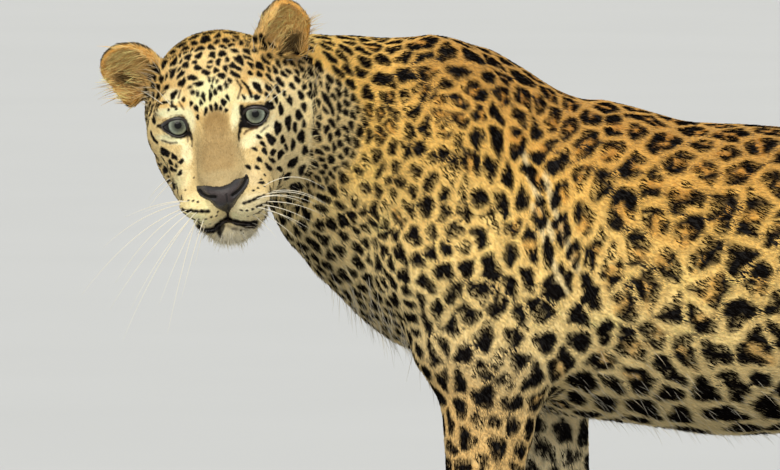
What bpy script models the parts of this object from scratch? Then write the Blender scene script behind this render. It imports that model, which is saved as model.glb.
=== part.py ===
"""A life-size leopard, standing, with its head turned to its left.

The flesh is a set of named masses: ellipsoids, and chains of ellipsoids along a limb.
A voxel remesh joins them, and the joined surface then settles on their smooth union.
Thin plates part the body where a person would name its parts.
Metres, +Z up. The animal faces -X and its left side faces -Y.
"""
import math
from dataclasses import dataclass

import bmesh
import bpy
import numpy as np
from mathutils import Matrix, Vector

NAME = "leopard"
GAP = 0.0003

# Level and place of the spine, seen from the side
WITHERS = 0.685
LOIN = 0.590
BELLY = 0.284
SHOULDER_X = 0.440
HIP_X = 1.060
CHEST_HALF_WIDTH = 0.112
STANCE = 0.080

# Head: place of the point midway between the eyes, and the way the face looks
BROW = Vector((0.217, -0.185, 0.603))
HEAD_YAW = math.radians(177.0)
HEAD_PITCH = math.radians(-22.0)
HEAD_ROLL = math.radians(8.75)
EYE_SPACING = 0.0785
EYE_RADIUS = 0.0150
EYE_DEPTH = 0.0100
LID = 0.0026
LID_WIDTH = 0.0310
LID_HEIGHT = 0.0190
LID_TILT = math.radians(20.0)

NOSE_PLACE = Vector((0, 0.079, -0.0445))
NOSE_HALF = (0.0250, 0.0120, 0.0135)
NOSE_LEAN = math.radians(20)
NOSTRIL = Vector((0.0125, 0.0900, -0.0465))
NOSTRIL_HALF = (0.0060, 0.0070, 0.0032)
NOSTRIL_SLANT = math.radians(25)
MOUTH_HALF_WIDTH = 0.044
MOUTH_LEVEL = -0.0775
LIP_LINE = 0.0014

# Fineness of the meshes
BODY_VOXEL = 0.0065
HEAD_VOXEL = 0.0026
BODY_TRIANGLES = 5600
HEAD_TRIANGLES = 3200
SETTLE_ROUNDS = (5, 3, 2)
BURIED = 0.015

FUR = (0.72, 0.43, 0.16)
NOSE_LEATHER = (0.20, 0.09, 0.08)
IRIS = (0.45, 0.52, 0.40)


@dataclass
class Group:
    """Ellipsoids that belong together, and the distance over which they blend into the rest."""

    centres: list
    turns: list
    halves: list
    blend: float


def head_matrix():
    """Head space: +X the animal's right, +Y out of the face, +Z up, from the brow point."""
    roll = Matrix.Rotation(HEAD_ROLL, 4, Vector((0, -1, 0)))
    yaw = Matrix.Rotation(HEAD_YAW, 4, "Z")
    pitch = Matrix.Rotation(HEAD_PITCH, 4, "X")
    return Matrix.Translation(BROW) @ roll @ yaw @ pitch


def smooth_path(points, count):
    """A smooth curve through the rows of points, as count rows."""
    rows = np.array(points, dtype=float)
    ends = np.vstack([2 * rows[0] - rows[1], rows, 2 * rows[-1] - rows[-2]])
    out = []
    for place in np.linspace(0, len(rows) - 1, count):
        i = min(int(place), len(rows) - 2)
        t = place - i
        a, b, c, d = ends[i:i + 4]
        out.append(0.5 * (2 * b + (c - a) * t + (2 * a - 5 * b + 4 * c - d) * t * t
                          + (3 * b - 3 * c + d - a) * t ** 3))
    return np.array(out)


def chain(stations, blend, spacing=0.4):
    """Ellipsoids along a limb: stations of (x, y, z, half depth, half width across)."""
    coarse = smooth_path(stations, 12 * len(stations))
    steps = np.linalg.norm(np.diff(coarse[:, :3], axis=0), axis=1)
    thin = np.minimum(coarse[:-1, 3], coarse[:-1, 4])
    count = max(3, int((steps / (spacing * thin)).sum()) + 1)
    rows = smooth_path(stations, count)
    tangents = np.gradient(rows[:, :3], axis=0)
    group = Group([], [], [], blend)
    for row, tangent in zip(rows, tangents):
        along = Vector(tangent).normalized()
        side = Vector((0, 1, 0))
        across = (side - along * side.dot(along)).normalized()
        up = along.cross(across)
        group.centres.append(row[:3])
        group.turns.append(np.array([along, across, up]).T)
        group.halves.append((min(row[3], row[4]), row[4], row[3]))
    return group


def masses(rows, blend, frame=None):
    """Ellipsoids from rows of (centre, halves, tilt about Y in degrees), in a frame."""
    frame = frame or Matrix.Identity(4)
    group = Group([], [], [], blend)
    for centre, halves, tilt in rows:
        turn = frame.to_3x3() @ Matrix.Rotation(math.radians(tilt), 3, "Y")
        group.centres.append(np.array(frame @ Vector(centre)))
        group.turns.append(np.array(turn))
        group.halves.append(halves)
    return group


def both_sides(rows):
    """Head rows, and the same rows mirrored to the other side of the face."""
    mirrored = [((-c[0], c[1], c[2]), h, -t) for c, h, t in rows]
    return rows + mirrored


def trunk():
    """Ribcage, loin and rump: (x, top, bottom, half width) down the length of the back."""
    sections = [
        (0.415, 0.640, 0.398, 0.070),
        (0.455, 0.645, 0.360, 0.096),
        (0.515, 0.617, 0.335, CHEST_HALF_WIDTH),
        (0.580, 0.620, 0.300, 0.119),
        (0.660, 0.599, 0.288, 0.122),
        (0.740, 0.594, BELLY - 0.006, 0.122),
        (0.820, LOIN - 0.001, 0.288, 0.115),
        (0.900, LOIN + 0.002, 0.310, 0.104),
        (0.980, LOIN + 0.010, 0.345, 0.096),
        (1.050, LOIN + 0.010, 0.385, 0.092),
        (1.110, LOIN - 0.008, 0.425, 0.080),
        (1.145, LOIN - 0.035, 0.460, 0.058),
    ]
    rows = [(x, 0, (top + low) / 2, (top - low) / 2, wide) for x, top, low, wide in sections]
    return chain(rows, 0.030, spacing=0.22)


def neck():
    """Neck, from the shoulders to the back of the skull."""
    rows = [
        (0.472, 0.000, 0.516, 0.140, 0.097),
        (0.430, 0.000, 0.536, 0.146, 0.098),
        (0.380, -0.006, 0.558, 0.131, 0.092),
        (0.335, -0.022, 0.587, 0.100, 0.086),
        (0.294, -0.052, 0.604, 0.082, 0.078),
        (0.266, -0.085, 0.602, 0.078, 0.070),
    ]
    return chain(rows, 0.030, spacing=0.25)


def shoulder(side, drop, shift):
    """Shoulder blade, shoulder point and upper arm on one side."""
    y = side * STANCE
    x = SHOULDER_X + shift
    blade = masses([
        ((x + 0.009, y * 0.62, WITHERS - 0.092 - drop), (0.053, 0.030, 0.092), -14),
        ((x + 0.010, y * 0.95, 0.520), (0.066, 0.036, 0.100), 4),
        ((x + 0.005, y * 1.08, 0.445), (0.058, 0.040, 0.070), -20),
        ((x + 0.070, y * 1.10, 0.420), (0.062, 0.038, 0.085), 10),
        ((x + 0.075, y * 1.08, 0.370), (0.052, 0.036, 0.052), 0),
        ((x + 0.022, y * 1.02, 0.372), (0.062, 0.038, 0.050), 48),
    ], 0.035)
    return blade


def foreleg(side, elbow_x, wrist_x):
    """Forearm and wrist, down to the paw."""
    y = side * STANCE
    lean = wrist_x - elbow_x
    rows = [
        (elbow_x + 0.010, y * 1.05, 0.395, 0.060, 0.040),
        (elbow_x + 0.002, y * 1.05, 0.345, 0.056, 0.038),
        (elbow_x + 0.10 * lean, y * 1.03, 0.300, 0.049, 0.036),
        (elbow_x + 0.35 * lean, y * 1.01, 0.240, 0.040, 0.033),
        (elbow_x + 0.70 * lean, y, 0.170, 0.031, 0.028),
        (wrist_x, y, 0.115, 0.028, 0.028),
        (wrist_x - 0.002, y, 0.075, 0.028, 0.030),
        (wrist_x - 0.010, y, 0.040, 0.026, 0.031),
    ]
    return chain(rows, 0.018)


def thigh(side, knee_x):
    """Haunch and thigh, from the hip to the knee."""
    y = side * STANCE
    return masses([
        ((HIP_X - 0.005, y * 0.80, 0.495), (0.092, 0.044, 0.088), 0),
        ((HIP_X + 0.015, y * 1.02, 0.430), (0.098, 0.044, 0.098), 0),
        ((0.5 * (HIP_X + knee_x) + 0.005, y * 1.12, 0.375), (0.072, 0.042, 0.082), 25),
        ((knee_x + 0.012, y * 1.18, 0.330), (0.050, 0.038, 0.052), 20),
    ], 0.032)


def hind_leg(side, knee_x, hock_x, toe_x):
    """Shank, hock and the long foot bones, down to the paw."""
    y = side * STANCE * 1.1
    rows = [
        (knee_x + 0.012, y * 1.07, 0.340, 0.052, 0.036),
        (knee_x + 0.30 * (hock_x - knee_x), y * 1.06, 0.285, 0.043, 0.032),
        (knee_x + 0.66 * (hock_x - knee_x), y * 1.02, 0.230, 0.030, 0.025),
        (hock_x - 0.008, y, 0.182, 0.025, 0.021),
        (hock_x - 0.002, y, 0.150, 0.024, 0.020),
        (0.65 * hock_x + 0.35 * toe_x, y, 0.100, 0.019, 0.020),
        (0.35 * hock_x + 0.65 * toe_x, y, 0.055, 0.020, 0.024),
        (toe_x + 0.012, y, 0.030, 0.020, 0.027),
    ]
    return chain(rows, 0.016)


def paw(side, reach, heel_x, size):
    """Pad and four toes of one paw, reaching forward from the heel."""
    y = side * reach
    rows = [
        ((heel_x - 0.006, y, 0.020), (0.036 * size, 0.036 * size, 0.027), 0),
        ((heel_x - 0.030, y, 0.018), (0.026 * size, 0.037 * size, 0.022), 0),
    ]
    for spread, forward in ((-1.5, 0.038), (-0.5, 0.050), (0.5, 0.050), (1.5, 0.038)):
        place = (heel_x - forward * size, y + spread * 0.0185 * size, 0.0150)
        rows.append((place, (0.0205 * size, 0.0118 * size, 0.0185), 0))
    return masses(rows, 0.005)


def tail():
    """Tail, hanging behind the hocks with its end curled up clear of the floor."""
    rows = [
        (1.105, 0.000, 0.555, 0.040, 0.040),
        (1.165, 0.000, 0.541, 0.034, 0.031),
        (1.222, 0.004, 0.485, 0.027, 0.026),
        (1.255, 0.010, 0.395, 0.025, 0.024),
        (1.275, 0.016, 0.295, 0.024, 0.023),
        (1.305, 0.024, 0.200, 0.023, 0.022),
        (1.360, 0.032, 0.130, 0.022, 0.021),
        (1.430, 0.038, 0.110, 0.021, 0.021),
        (1.495, 0.040, 0.135, 0.020, 0.020),
        (1.538, 0.040, 0.190, 0.018, 0.018),
        (1.555, 0.038, 0.245, 0.012, 0.012),
    ]
    return chain(rows, 0.014)


def skull(frame):
    """Braincase, brow and cheeks, in head space."""
    middle = [
        ((0, -0.083, 0.004), (0.062, 0.074, 0.048), 0),
        ((0, -0.040, 0.010), (0.050, 0.046, 0.036), 0),
        ((0, -0.070, -0.045), (0.052, 0.062, 0.050), 0),
    ]
    sides = [
        ((0.047, -0.040, -0.022), (0.028, 0.040, 0.034), 0),
        ((0.043, -0.050, -0.050), (0.028, 0.046, 0.036), 0),
        ((0.046, -0.078, -0.022), (0.030, 0.050, 0.040), 0),
        ((0.040, -0.020, -0.026), (0.026, 0.027, 0.020), 0),
        ((0.038, -0.026, 0.017), (0.025, 0.022, 0.011), 15),
    ]
    return masses(middle + both_sides(sides), 0.016, frame)


def muzzle(frame):
    """Bridge of the nose, whisker pads, chin and lower jaw, in head space."""
    bridge = []
    for i in range(6):
        centre = (0.0070, -0.030 + 0.0165 * i, -0.004 - 0.0054 * i)
        bridge.append((centre, (0.0195 - 0.0003 * i, 0.024, 0.020), 0))
    sides = bridge + [
        ((0.0065, 0.0635, -0.0345), (0.0160, 0.0170, 0.0140), 0),
        ((0.0220, 0.056, -0.0600), (0.0240, 0.0265, 0.0200), 0),
        ((0.0270, 0.034, -0.0560), (0.0225, 0.0320, 0.0235), 0),
        ((0.0300, 0.010, -0.0400), (0.0250, 0.0360, 0.0260), 0),
        ((0.0330, -0.005, -0.0620), (0.0240, 0.0420, 0.0270), 0),
        ((0.0300, -0.030, -0.0800), (0.0220, 0.0480, 0.0200), 0),
        ((0.0200, 0.030, -0.0860), (0.0190, 0.0330, 0.0150), 0),
    ]
    chin = [
        ((0, 0.043, -0.0935), (0.0270, 0.0275, 0.0195), 0),
        ((0, 0.010, -0.0850), (0.0350, 0.0450, 0.0250), 0),
    ]
    return masses(both_sides(sides) + chin, 0.016, frame)


def lids(frame):
    """The bulge of lids over each eye."""
    half = EYE_RADIUS + LID
    rows = [((EYE_SPACING / 2, -EYE_DEPTH, 0.0), (half, half, half), 0)]
    return masses(both_sides(rows), 0.007, frame)


@dataclass
class Ear:
    """One ear: where it grows from in head space, and how high its tip is lifted."""

    side: int
    root: tuple
    lift: float
    plate_lift: float

    LENGTH = 0.058
    HALF_WIDTH = 0.030
    HALF_DEPTH = 0.017
    WALL = 0.0045

    def axes(self):
        """Along the ear, across it, and out of its cup."""
        along = Vector((self.side * math.cos(self.lift), -0.08, math.sin(self.lift))).normalized()
        out = Vector((self.side * 0.18, 1.0, -0.05))
        out = (out - along * out.dot(along)).normalized()
        return along, out.cross(along), out

    def turn(self):
        """Rotation whose columns are across, out and along."""
        along, across, out = self.axes()
        return Matrix((across, out, along)).transposed()

    def centre(self):
        """Middle of the cup in head space."""
        return Vector(self.root) + self.axes()[0] * (0.5 * self.LENGTH - 0.002)

    def flesh(self, frame):
        """The ear as a solid, before its cup is hollowed."""
        turn = frame.to_3x3() @ self.turn()
        half = (self.HALF_WIDTH, self.HALF_DEPTH, 0.5 * self.LENGTH + 0.004)
        return Group([np.array(frame @ self.centre())], [np.array(turn)], [half], 0.006)


EARS = (
    Ear(1, (0.056, -0.078, 0.022), math.radians(27), math.radians(24)),
    Ear(-1, (-0.060, -0.078, 0.030), math.radians(64), math.radians(42)),
)


def all_groups():
    """Every group of flesh, in the order in which they blend."""
    frame = head_matrix()
    groups = [trunk(), neck()]
    groups += [shoulder(-1, 0.0, 0.0), shoulder(1, 0.020, 0.012)]
    groups += [foreleg(-1, 0.492, 0.470), foreleg(1, 0.542, 0.576)]
    groups += [thigh(-1, 1.005), thigh(1, 0.965)]
    groups += [hind_leg(-1, 1.005, 1.135, 1.095), hind_leg(1, 0.965, 1.050, 0.995)]
    groups += [paw(-1, STANCE, 0.462, 1.1), paw(1, STANCE, 0.568, 1.1)]
    groups += [paw(-1, 1.1 * STANCE, 1.085, 1.0), paw(1, 1.1 * STANCE, 0.985, 1.0)]
    groups += [tail(), skull(frame), muzzle(frame), lids(frame)]
    return groups + [ear.flesh(frame) for ear in EARS]


def distance(points, group):
    """Rough signed distance from each point to the nearest ellipsoid of a group."""
    best = np.full(len(points), 1.0)
    for centre, turn, half in zip(group.centres, group.turns, group.halves):
        local = (points - centre) @ turn / half
        length = np.sqrt((local * local).sum(axis=1)) + 1e-9
        slope = np.sqrt(((local / half) ** 2).sum(axis=1)) + 1e-9
        best = np.minimum(best, length * (length - 1) / slope)
    return best


def flesh_distance(points, groups):
    """Signed distance to the smooth union of all groups."""
    total = np.full(len(points), 1.0)
    for group in groups:
        centres = np.array(group.centres)
        reach = np.array(group.halves).max() + 0.06
        above = (points > centres.min(axis=0) - reach).all(axis=1)
        near = above & (points < centres.max(axis=0) + reach).all(axis=1)
        if not near.any():
            continue
        own = distance(points[near], group)
        rest = total[near]
        mix = np.maximum(group.blend - np.abs(own - rest), 0) / group.blend
        total[near] = np.minimum(own, rest) - 0.25 * group.blend * mix * mix
    return total


def new_object(name, mesh):
    """Wrap a mesh in an object in the scene."""
    obj = bpy.data.objects.new(name, mesh)
    bpy.context.scene.collection.objects.link(obj)
    return obj


def seed_object(name, groups, keep):
    """Closed balls for every ellipsoid whose centre passes keep, in one object."""
    mesh = bpy.data.meshes.new(name)
    form = bmesh.new()
    for group in groups:
        for centre, turn, half in zip(group.centres, group.turns, group.halves):
            if keep(centre):
                matrix = Matrix.Translation(Vector(centre)) @ Matrix(turn.tolist()).to_4x4()
                matrix = matrix @ Matrix.Diagonal((*half, 1.0))
                bmesh.ops.create_icosphere(form, subdivisions=2, radius=1.0, matrix=matrix)
    form.to_mesh(mesh)
    form.free()
    return new_object(name, mesh)


def bake(obj):
    """Replace an object's mesh by its evaluated mesh, and drop its modifiers."""
    depsgraph = bpy.context.evaluated_depsgraph_get()
    mesh = bpy.data.meshes.new_from_object(obj.evaluated_get(depsgraph))
    old = obj.data
    obj.modifiers.clear()
    obj.data = mesh
    bpy.data.meshes.remove(old)


def remesh(obj, voxel):
    """Join overlapping balls into one skin of even quads."""
    modifier = obj.modifiers.new("skin", "REMESH")
    modifier.mode = "VOXEL"
    modifier.voxel_size = voxel
    bake(obj)


def settle(obj, groups, rounds, stride=0.004):
    """Move the skin onto the smooth union, and even out its faces."""
    mesh = obj.data
    count = len(mesh.vertices)
    points = np.empty(count * 3)
    mesh.vertices.foreach_get("co", points)
    points = points.reshape(-1, 3)
    edges = np.empty(len(mesh.edges) * 2, dtype=np.int64)
    mesh.edges.foreach_get("vertices", edges)
    a, b = edges.reshape(-1, 2).T
    degree = np.bincount(a, minlength=count) + np.bincount(b, minlength=count)
    normals = np.empty(count * 3)
    for _ in range(rounds):
        mesh.vertices.foreach_set("co", points.ravel())
        mesh.update()
        mesh.vertex_normals.foreach_get("vector", normals)
        normal = normals.reshape(-1, 3)
        mean = np.empty_like(points)
        for axis in range(3):
            total = np.bincount(a, points[b, axis], count)
            total += np.bincount(b, points[a, axis], count)
            mean[:, axis] = total / degree
        slide = mean - points
        slide -= (slide * normal).sum(axis=1)[:, None] * normal
        depth = flesh_distance(points, groups)
        push = np.where(depth < -BURIED, 0.0, np.clip(-depth, -stride, stride))
        points = points + 0.5 * slide + push[:, None] * normal
    mesh.vertices.foreach_set("co", points.ravel())
    mesh.update()


def reduce(obj, triangles):
    """Thin out the mesh to about the given number of triangles."""
    now = sum(len(face.vertices) - 2 for face in obj.data.polygons)
    modifier = obj.modifiers.new("reduce", "DECIMATE")
    modifier.ratio = triangles / now
    bake(obj)


def cut(obj, cutter):
    """Cut one solid out of an object, and remove the cutter."""
    cutter.hide_render = True
    cutter.display_type = "WIRE"
    modifier = obj.modifiers.new("cut", "BOOLEAN")
    modifier.operation = "DIFFERENCE"
    modifier.object = cutter
    bake(obj)
    mesh = cutter.data
    bpy.data.objects.remove(cutter)
    bpy.data.meshes.remove(mesh)


def ball(name, matrix, halves, segments=16, rings=10):
    """An ellipsoid placed by a matrix."""
    mesh = bpy.data.meshes.new(name)
    form = bmesh.new()
    bmesh.ops.create_uvsphere(form, u_segments=segments, v_segments=rings, radius=1.0,
                              matrix=matrix @ Matrix.Diagonal((*halves, 1.0)))
    form.to_mesh(mesh)
    form.free()
    return new_object(name, mesh)


def block(name, matrix, sizes):
    """A box placed by a matrix."""
    mesh = bpy.data.meshes.new(name)
    form = bmesh.new()
    bmesh.ops.create_cube(form, size=1.0, matrix=matrix @ Matrix.Diagonal((*sizes, 1.0)))
    form.to_mesh(mesh)
    form.free()
    return new_object(name, mesh)


def facing(centre, normal, up=(0, 0, 1)):
    """A matrix at centre whose +Z is the normal, and whose +Y leans to up."""
    z = Vector(normal).normalized()
    x = Vector(up).cross(z).normalized()
    y = z.cross(x)
    turn = Matrix((x, y, z)).transposed().to_4x4()
    return Matrix.Translation(Vector(centre)) @ turn


def almond(name, matrix, width, height, depth):
    """A prism with a pointed oval outline, for the opening between the lids."""
    mesh = bpy.data.meshes.new(name)
    form = bmesh.new()
    count = 14
    ring = []
    for i in range(count):
        angle = 2 * math.pi * i / count
        lean = math.cos(angle)
        rise = math.sin(angle) * math.sqrt(1 - 0.35 * lean * lean)
        ring.append(form.verts.new((0.5 * width * lean, 0.5 * height * rise, -0.5 * depth)))
    face = form.faces.new(ring)
    grown = bmesh.ops.extrude_face_region(form, geom=[face])
    moved = [item for item in grown["geom"] if isinstance(item, bmesh.types.BMVert)]
    bmesh.ops.translate(form, verts=moved, vec=(0, 0, depth))
    bmesh.ops.recalc_face_normals(form, faces=form.faces)
    form.transform(matrix)
    form.to_mesh(mesh)
    form.free()
    return new_object(name, mesh)


def nose_pad(name, frame, grow):
    """The bare nose: broad across the top and narrow below, as a closed solid."""
    mesh = bpy.data.meshes.new(name)
    form = bmesh.new()
    bmesh.ops.create_uvsphere(form, u_segments=16, v_segments=10, radius=1.0)
    for vert in form.verts:
        narrow = 0.66 + 0.34 * min(1.0, max(-1.0, vert.co.z + 0.25))
        x = vert.co.x * (NOSE_HALF[0] * narrow + grow)
        y = vert.co.y * (NOSE_HALF[1] + grow)
        z = vert.co.z * (NOSE_HALF[2] + grow)
        vert.co = Vector((x, y, z))
    form.transform(frame @ Matrix.Translation(NOSE_PLACE) @ Matrix.Rotation(NOSE_LEAN, 4, "X"))
    form.to_mesh(mesh)
    form.free()
    return new_object(name, mesh)


def eye_matrix(frame, side):
    """Place of an eyeball, with its axis along the look of the eye."""
    centre = frame @ Vector((side * EYE_SPACING / 2, -EYE_DEPTH, 0))
    return facing(centre, (0, -1, 0.03))


def mouth_blade(name, frame):
    """A thin curved blade along the line of the mouth, from corner to corner under the lips."""
    mesh = bpy.data.meshes.new(name)
    form = bmesh.new()
    rows = []
    for i in range(-6, 7):
        t = i / 6
        droop = 0.011 * abs(t) ** 1.6
        place = Vector((MOUTH_HALF_WIDTH * t, 0.076 - 0.050 * t * t, MOUTH_LEVEL - droop))
        away = Vector((1.3 * t, 1.0 - 0.6 * t * t, 0)).normalized()
        rows.append([form.verts.new(place + away * reach) for reach in (-0.005, 0.014)])
    for left, right in zip(rows, rows[1:]):
        form.faces.new((left[0], right[0], right[1], left[1]))
    form.transform(frame)
    form.to_mesh(mesh)
    form.free()
    blade = new_object(name, mesh)
    thick = blade.modifiers.new("thick", "SOLIDIFY")
    thick.thickness = LIP_LINE
    thick.offset = 0.0
    bake(blade)
    return blade


def carve_head(head, frame):
    """Hollow the ears, sink the eyes and nose, and draw the line of the mouth."""
    for ear in EARS:
        along, across, out = ear.axes()
        place = frame @ Matrix.Translation(ear.centre() + out * 0.0085 + along * 0.0035)
        place = place @ ear.turn().to_4x4()
        halves = (ear.HALF_WIDTH - ear.WALL, ear.HALF_DEPTH, 0.5 * ear.LENGTH + 0.001 - ear.WALL)
        cut(head, ball("cup", place, halves, 14, 8))
    for side in (1, -1):
        socket = eye_matrix(frame, side)
        cut(head, ball("socket", socket, (EYE_RADIUS + GAP,) * 3))
        lean = Matrix.Rotation(-side * LID_TILT - HEAD_ROLL, 4, "Z")
        place = socket @ Matrix.Translation((0, 0, 0.020)) @ lean
        cut(head, almond("opening", place, LID_WIDTH, LID_HEIGHT, 0.034))
    cut(head, nose_pad("pocket", frame, GAP))
    cut(head, mouth_blade("mouth", frame))
    cleft = frame @ Matrix.Translation((0, 0.086, MOUTH_LEVEL + 0.008))
    cut(head, block("cleft", cleft, (LIP_LINE, 0.026, 0.018)))


def keep_largest(obj):
    """Drop loose scraps, so that one closed surface is left."""
    form = bmesh.new()
    form.from_mesh(obj.data)
    islands = find_islands(form)
    islands.sort(key=len)
    scraps = [vert for island in islands[:-1] for vert in island]
    bmesh.ops.delete(form, geom=scraps, context="VERTS")
    form.to_mesh(obj.data)
    form.free()


def find_islands(form):
    """Connected sets of vertices."""
    seen = set()
    islands = []
    for start in form.verts:
        if start in seen:
            continue
        stack = [start]
        island = []
        seen.add(start)
        while stack:
            vert = stack.pop()
            island.append(vert)
            for edge in vert.link_edges:
                other = edge.other_vert(vert)
                if other not in seen:
                    seen.add(other)
                    stack.append(other)
        islands.append(island)
    return islands


def material(name, colour, roughness):
    """A plain coated material."""
    item = bpy.data.materials.new(name)
    item.use_nodes = True
    shader = item.node_tree.nodes["Principled BSDF"]
    shader.inputs["Base Color"].default_value = (*colour, 1)
    shader.inputs["Roughness"].default_value = roughness
    shader.inputs["Metallic"].default_value = 0.0
    return item


NECK_PLANE = ((0.283, -0.062, 0.600), (-0.62, -0.78, 0.06))

BODY_PLATES = (
    ("neck base", (0.395, 0.0, 0.530), (-0.92, 0.0, 0.38), 0.40, 0.40),
    ("ribs", (0.665, 0.0, 0.440), (1, 0, 0.05), 0.40, 0.44),
    ("loin", (0.880, 0.0, 0.450), (1, 0, 0.10), 0.40, 0.40),
    ("elbows", (0.500, 0.0, 0.320), (0.38, 0, 1), 0.24, 0.30),
    ("groins", (1.032, 0.0, 0.373), (-0.55, 0, 1), 0.350, 0.30),
    ("left wrist", (0.468, -0.082, 0.098), (0.0, 0, 1), 0.12, 0.12),
    ("right wrist", (0.576, 0.082, 0.098), (-0.1, 0, 1), 0.12, 0.12),
    ("left knee", (1.030, -0.095, 0.285), (0.18, 0, 1), 0.22, 0.12),
    ("right knee", (0.980, 0.095, 0.285), (0.18, 0, 1), 0.20, 0.12),
    ("left ankle", (1.110, -0.088, 0.082), (0.30, 0, 1), 0.12, 0.12),
    ("right ankle", (1.010, 0.088, 0.082), (0.40, 0, 1), 0.12, 0.12),
    ("tail root", (1.230, 0.004, 0.468), (0.45, 0.03, -0.89), 0.10, 0.12),
    ("tail middle", (1.268, 0.013, 0.330), (0.22, 0.05, -0.97), 0.12, 0.12),
    ("tail bend", (1.330, 0.028, 0.155), (0.75, 0.10, -0.66), 0.12, 0.12),
    ("tail end", (1.462, 0.039, 0.118), (0.93, 0.03, 0.36), 0.12, 0.12),
)

ANCHORS = {
    "neck": (0.345, -0.02, 0.560),
    "chest": (0.520, 0.0, 0.470),
    "belly": (0.770, 0.0, 0.440),
    "rump": (1.010, 0.0, 0.500),
    "forearm_left": (0.480, -0.080, 0.220),
    "forearm_right": (0.565, 0.080, 0.220),
    "forepaw_left": (0.450, -0.080, 0.030),
    "forepaw_right": (0.565, 0.080, 0.030),
    "thigh_left": (1.030, -0.090, 0.370),
    "thigh_right": (1.010, 0.090, 0.370),
    "shank_left": (1.090, -0.090, 0.190),
    "shank_right": (1.020, 0.090, 0.190),
    "hindpaw_left": (1.075, -0.088, 0.035),
    "hindpaw_right": (0.975, 0.088, 0.035),
    "tail_root": (1.252, 0.006, 0.400),
    "tail_middle": (1.290, 0.020, 0.240),
    "tail_bend": (1.400, 0.035, 0.125),
    "tail_tip": (1.530, 0.040, 0.190),
}


def part_by_plates(obj, rows):
    """Cut clean through one limb after another with thin plates."""
    for name, centre, normal, wide, tall in rows:
        lead = (0, 1, 0) if abs(normal[2]) > 0.7 else (0, 0, 1)
        cut(obj, block(name, facing(centre, normal, lead), (wide, tall, GAP)))


def part_left_from_right(obj, centre, normal, length, depth):
    """Cut down the middle of the body below a plate, so that its two legs come apart."""
    down = Vector(normal).normalized()
    middle = Vector(centre) - down * (depth / 2 - GAP / 2)
    cut(obj, block("middle", facing(middle, (0, 1, 0), down), (length, depth, GAP)))


def split(obj, anchors):
    """Give each loose body of an object its own object, named by the nearest anchor."""
    form = bmesh.new()
    form.from_mesh(obj.data)
    old = obj.data
    bpy.data.objects.remove(obj)
    bpy.data.meshes.remove(old)
    found = {}
    for island in find_islands(form):
        if len(island) < 12:
            continue
        middle = sum((vert.co for vert in island), Vector()) / len(island)
        name = min(anchors, key=lambda key: (Vector(anchors[key]) - middle).length)
        if name not in found or len(island) > len(found[name]):
            found[name] = island
    parts = []
    for name, island in found.items():
        piece = bmesh.new()
        twins = {vert: piece.verts.new(vert.co) for vert in island}
        faces = {face for vert in island for face in vert.link_faces}
        for face in sorted(faces, key=lambda item: item.index):
            piece.faces.new([twins[vert] for vert in face.verts])
        mesh = bpy.data.meshes.new(name)
        piece.to_mesh(mesh)
        piece.free()
        parts.append(new_object(name, mesh))
    form.free()
    return parts


def build_body(groups):
    """Trunk, neck, legs and tail, parted by thin plates and flat under the paws."""
    body = seed_object("body", groups, lambda centre: True)
    for rounds in SETTLE_ROUNDS:
        remesh(body, BODY_VOXEL)
        settle(body, groups, rounds)
    reduce(body, BODY_TRIANGLES)
    keep_largest(body)
    centre, normal = NECK_PLANE
    place = facing(centre, normal)
    ahead = place @ Matrix.Translation((0, 0, 0.25 - GAP / 2))
    cut(body, block("ahead", ahead, (0.40, 0.40, 0.50)))
    cut(body, block("floor", Matrix.Translation((0.8, 0, -0.05)), (2.0, 1.0, 0.10)))
    keep_largest(body)
    part_by_plates(body, BODY_PLATES)
    for _, centre, normal, length, _ in BODY_PLATES[3:5]:
        part_left_from_right(body, centre, normal, length, 0.09)
    return split(body, ANCHORS)


def build_head(groups, frame):
    """Head with its ears, eyes, nose and lower jaw."""
    reach = 0.20
    head = seed_object("head", groups, lambda centre: (Vector(centre) - BROW).length < reach)
    for rounds in SETTLE_ROUNDS:
        remesh(head, HEAD_VOXEL)
        settle(head, groups, rounds)
    reduce(head, HEAD_TRIANGLES)
    keep_largest(head)
    centre, normal = NECK_PLANE
    behind = facing(centre, normal) @ Matrix.Translation((0, 0, -0.25 + GAP / 2))
    cut(head, block("behind", behind, (0.60, 0.60, 0.50)))
    keep_largest(head)
    carve_head(head, frame)
    keep_largest(head)
    rows = []
    for ear in EARS:
        normal = Vector((ear.side * math.cos(ear.plate_lift), 0, math.sin(ear.plate_lift)))
        at = frame @ (Vector(ear.root) + normal * 0.012)
        rows.append(("ear", at, frame.to_3x3() @ normal, 0.076, 0.076))
    part_by_plates(head, rows)
    anchors = {"head": frame @ Vector((0, -0.03, -0.02))}
    for ear, name in zip(EARS, ("ear_right", "ear_left")):
        anchors[name] = frame @ ear.centre()
    parts = split(head, anchors)
    for side, name in ((1, "eye_right"), (-1, "eye_left")):
        parts.append(ball(name, eye_matrix(frame, side), (EYE_RADIUS,) * 3))
    nose = nose_pad("nose", frame, 0.0)
    for side in (1, -1):
        place = Matrix.Translation((side * NOSTRIL.x, NOSTRIL.y, NOSTRIL.z))
        lean = Matrix.Rotation(side * NOSTRIL_SLANT, 4, "Y")
        cut(nose, ball("nostril", frame @ place @ lean, NOSTRIL_HALF, 8, 6))
    parts.append(nose)
    return parts


def centre_parts(parts):
    """Move every part so that the middle of the box's floor is the origin."""
    low = Vector((1e9,) * 3)
    high = Vector((-1e9,) * 3)
    for part in parts:
        for vert in part.data.vertices:
            low = Vector(map(min, low, vert.co))
            high = Vector(map(max, high, vert.co))
    shift = Vector((-(low.x + high.x) / 2, -(low.y + high.y) / 2, -low.z))
    for part in parts:
        part.data.transform(Matrix.Translation(shift))


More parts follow.
